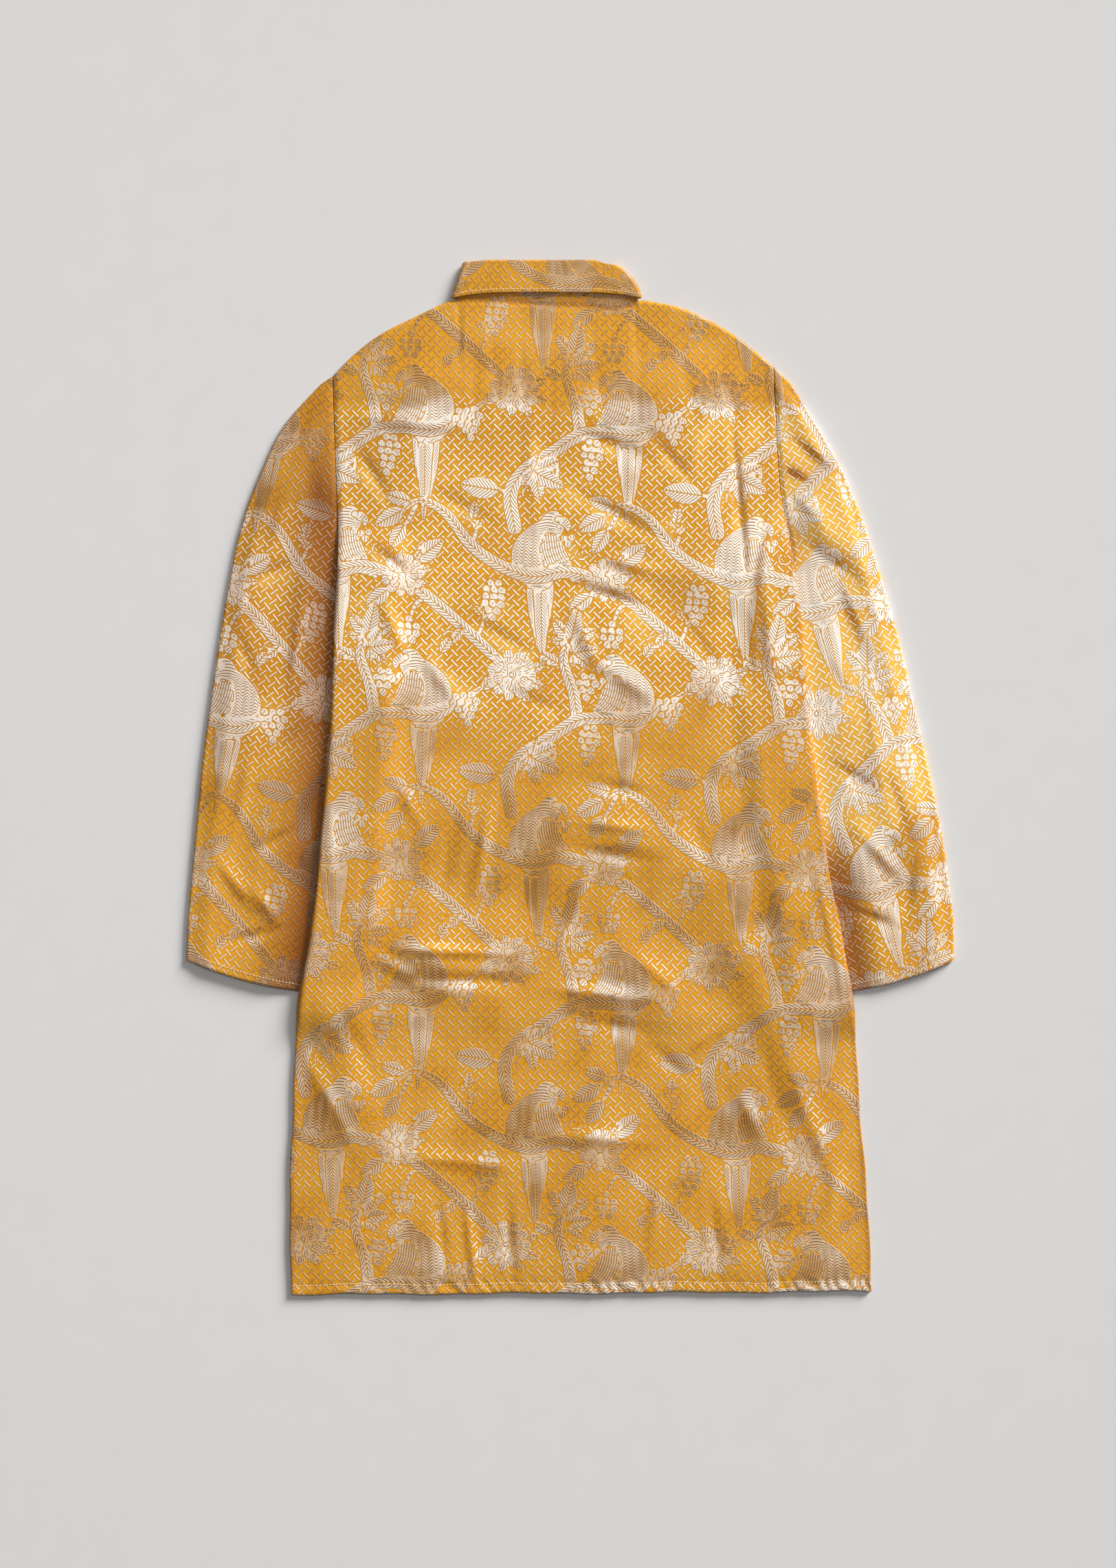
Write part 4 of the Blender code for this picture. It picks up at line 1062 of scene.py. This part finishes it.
def collar_at(turn, rise, inset):
    """Points on the collar: turn is 0 at the centre back, 1 and 2 at a corner fold's ends and 3 at
    the centre front, and below zero on the left; rise is 1 at the upper edge."""
    sign = np.where(turn < 0, -1, 1)
    top = np.where(turn < 0, TOP_LEFT, TOP_RIGHT)
    bow = np.where(turn < 0, ROUND_LEFT, ROUND_RIGHT)
    run = NECK_HALF + (top - BAND_FOLD - NECK_HALF) * rise**bow
    part = np.abs(turn)
    angle = np.pi * np.clip(part - 1, 0, 1)
    height = BAND_FOLD + (BAND_FOLD - inset) * np.cos(angle)
    across = run * np.minimum(part, 1) + (BAND_FOLD - inset) * np.sin(angle)
    down = (COLLAR_BASE + COLLAR_DIP * np.minimum(part, 1) ** 4) * (1 - rise)
    corner = smooth((np.minimum(part, 1) - 0.72) / 0.28) * (1 - smooth((part - 2) / 0.4))
    down = down + np.where(turn < 0, 1.0, 3.0) * corner * rise**5
    sweep = np.pi / 2 * np.maximum(part - 2, 0)
    across = np.where(part > 2, BAND_SLIT + (run - BAND_SLIT) * np.cos(sweep), across)
    down = np.where(part > 2, down + FRONT_DROP * np.sin(sweep), down)
    return sign * across, down, height


half_turn = [(k + 0.5) / 60 for k in range(60)] + [1 + k / 12 for k in range(13)]
half_turn += [2 + k / 60 for k in range(1, 61)]
turns = np.array([-t for t in reversed(half_turn)] + half_turn)[None, :]
outer = [(0.04 + 0.92 * k / 24, 0.0) for k in range(25)]
fold = [(0.985, 0.25), (1.0, BAND_WALL / 2), (0.985, BAND_WALL - 0.25)]
inner = [(0.96 - 0.92 * k / 10, BAND_WALL) for k in range(11)]
seam = [(0.015, BAND_WALL - 0.3), (0.0, BAND_WALL / 2), (0.015, 0.3)]
loop = list(reversed(outer + fold + inner + seam + outer[:1]))
rise = np.array([row[0] for row in loop])[:, None]
inset = np.array([row[1] for row in loop])[:, None]
across, down, height = collar_at(turns, rise, inset)
around = np.sign(turns) * np.interp(np.abs(turns), [0, 1, 2, 3], [0, 60, 70, 165])
below = -np.where(inset < 1, rise * BAND_HIGH, 60 - rise * BAND_HIGH)
collar_points = place(across, down, height)
collar = cloth_sheet("collar", collar_points, COLLAR_CUT, around, below, COLLAR_SHINE)
rework(collar.data, fill_ends)
fit(collar, "collar")

# The visible stitching: a pale twisted polyester thread in a lockstitch along the hem, the cuffs
# and the collar's lower edge. Each stitch is a short bead sunk into the cloth.
STITCH_PITCH, STITCH_LENGTH, STITCH_LIFT, THREAD_THICK = 2.3, 1.75, 0.05, 0.55
BUTTONHOLE = [(-1, -7), (1, -7), (1, 7), (-1, 7), (-1, -7)]
pale_thread, tree, shader = new_material("pale polyester thread", Roughness=0.45)
two_shades(tree, shader, "TexWave", "#D9B98A", "#F6E8CB", **PLIES)


def stitches(name, line, lift):
    """A row of stitches along a line of points on the cloth."""
    steps = np.linalg.norm(np.diff(line, axis=0), axis=1)
    at = np.concatenate([[0], np.cumsum(steps)]) * 1000
    bm = bmesh.new()
    for start in np.arange(0.4, at[-1] - STITCH_LENGTH, STITCH_PITCH):
        ends = (start, start + STITCH_LENGTH)
        a, b = [Vector([np.interp(x, at, line[:, k]) for k in range(3)]) for x in ends]
        middle = (a + b) / 2 + Vector((0, 0, lift / 1000))
        turn = (b - a).to_track_quat("X", "Z").to_matrix().to_4x4()
        size = Matrix.Diagonal((STITCH_LENGTH / 2000, THREAD_THICK / 2000, THREAD_THICK / 2000, 1))
        spot = Matrix.Translation(middle) @ turn @ size @ Matrix.Rotation(math.pi / 2, 4, "Y")
        bmesh.ops.create_uvsphere(bm, u_segments=6, v_segments=5, radius=1, matrix=spot)
    obj = put_in_scene(name, into_mesh(name, bm), pale_thread)
    obj.data.shade_smooth()
    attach(obj, "root")


middle_column = back_points[:, back_points.shape[1] // 2, 1]
hem_row = np.abs(middle_column - (HEM_SEAM + 1.7 - LENGTH / 2) / 1000)[: -len(TURN)].argmin()
collar_row = min(range(len(loop)), key=lambda k: abs(loop[k][0] - 0.1) + loop[k][1])
for name, line in (
    ("hem_stitching", back_points[hem_row, 4:-4]),
    ("left_cuff_stitching", cuff_rows[0]),
    ("right_cuff_stitching", cuff_rows[1]),
    ("collar_stitching", collar_points[collar_row]),
):
    stitches(name, line, STITCH_LIFT)
for number in BUTTONS:
    down = button_down(number)
    ring = np.array([place(a, down + b, STRIP_HEIGHT - 0.02) for a, b in BUTTONHOLE])
    stitches("buttonhole_stitching_%d" % number, ring, 0)

# Floor, light and camera: a plain pale floor, a soft key light from the upper right, a softbox
# above whose reflection lies on the upper back, and the camera straight overhead.
card, tree, shader = new_material("matt white card", Roughness=0.9)
two_shades(tree, shader, "TexNoise", "#D6D4D2", "#D9D7D5", Scale=40.0)
bm = bmesh.new()
bmesh.ops.create_grid(bm, x_segments=1, y_segments=1, size=6)
bmesh.ops.translate(bm, verts=bm.verts, vec=(0, 0, -0.0003))
floor = put_in_scene("floor", into_mesh("floor", bm), card)

UPPER_BACK = 0.242  # metres from the garment's middle towards the collar
Lamp = namedtuple("Lamp", "name x y z wide long watts")
LAMPS = rows_of(
    Lamp,
    ("softbox above", 0.0, UPPER_BACK, 2.0, 1.1, 0.36, 7.6), ("fill", 1.6, 1.8, 2.6, 2.0, 2.0, 5),
)
for lamp in LAMPS:
    light = bpy.data.lights.new(lamp.name, "AREA")
    light.shape = "RECTANGLE"
    light.size, light.size_y = lamp.wide, lamp.long
    light.energy = lamp.watts
    obj = put_in_scene(lamp.name, light)
    obj.location = (lamp.x, lamp.y, lamp.z)
    aim = Vector((0, UPPER_BACK, 0)) - obj.location
    obj.rotation_euler = aim.to_track_quat("-Z", "Y").to_euler()
    obj.visible_camera = False
key = bpy.data.lights.new("key", "SUN")
key.energy, key.angle = 5.4, math.radians(25)
aim = Vector((-1.0, -1.1, -0.6))
put_in_scene("key", key).rotation_euler = aim.to_track_quat("-Z", "Y").to_euler()
world = bpy.data.worlds.new("studio")
world.use_nodes = True
background = world.node_tree.nodes["Background"]
background.inputs["Color"].default_value = (0.97, 0.985, 1, 1)
background.inputs["Strength"].default_value = 0.16
bpy.context.scene.world = world
bpy.context.scene.view_settings.view_transform = "Standard"

CAMERA_HIGH, CLOTH_HIGH = 3.0, 0.005
PICTURE_LONG = 1.0657  # the picture's 2282 pixels at 0.467 mm of cloth each
SENSOR = 36
camera_data = bpy.data.cameras.new("camera")
camera_data.sensor_width = SENSOR
camera_data.lens = SENSOR * (CAMERA_HIGH - CLOTH_HIGH) / PICTURE_LONG
camera = put_in_scene("camera", camera_data)
camera.location = (-0.0082, -0.0042, CAMERA_HIGH)
bpy.context.scene.camera = camera
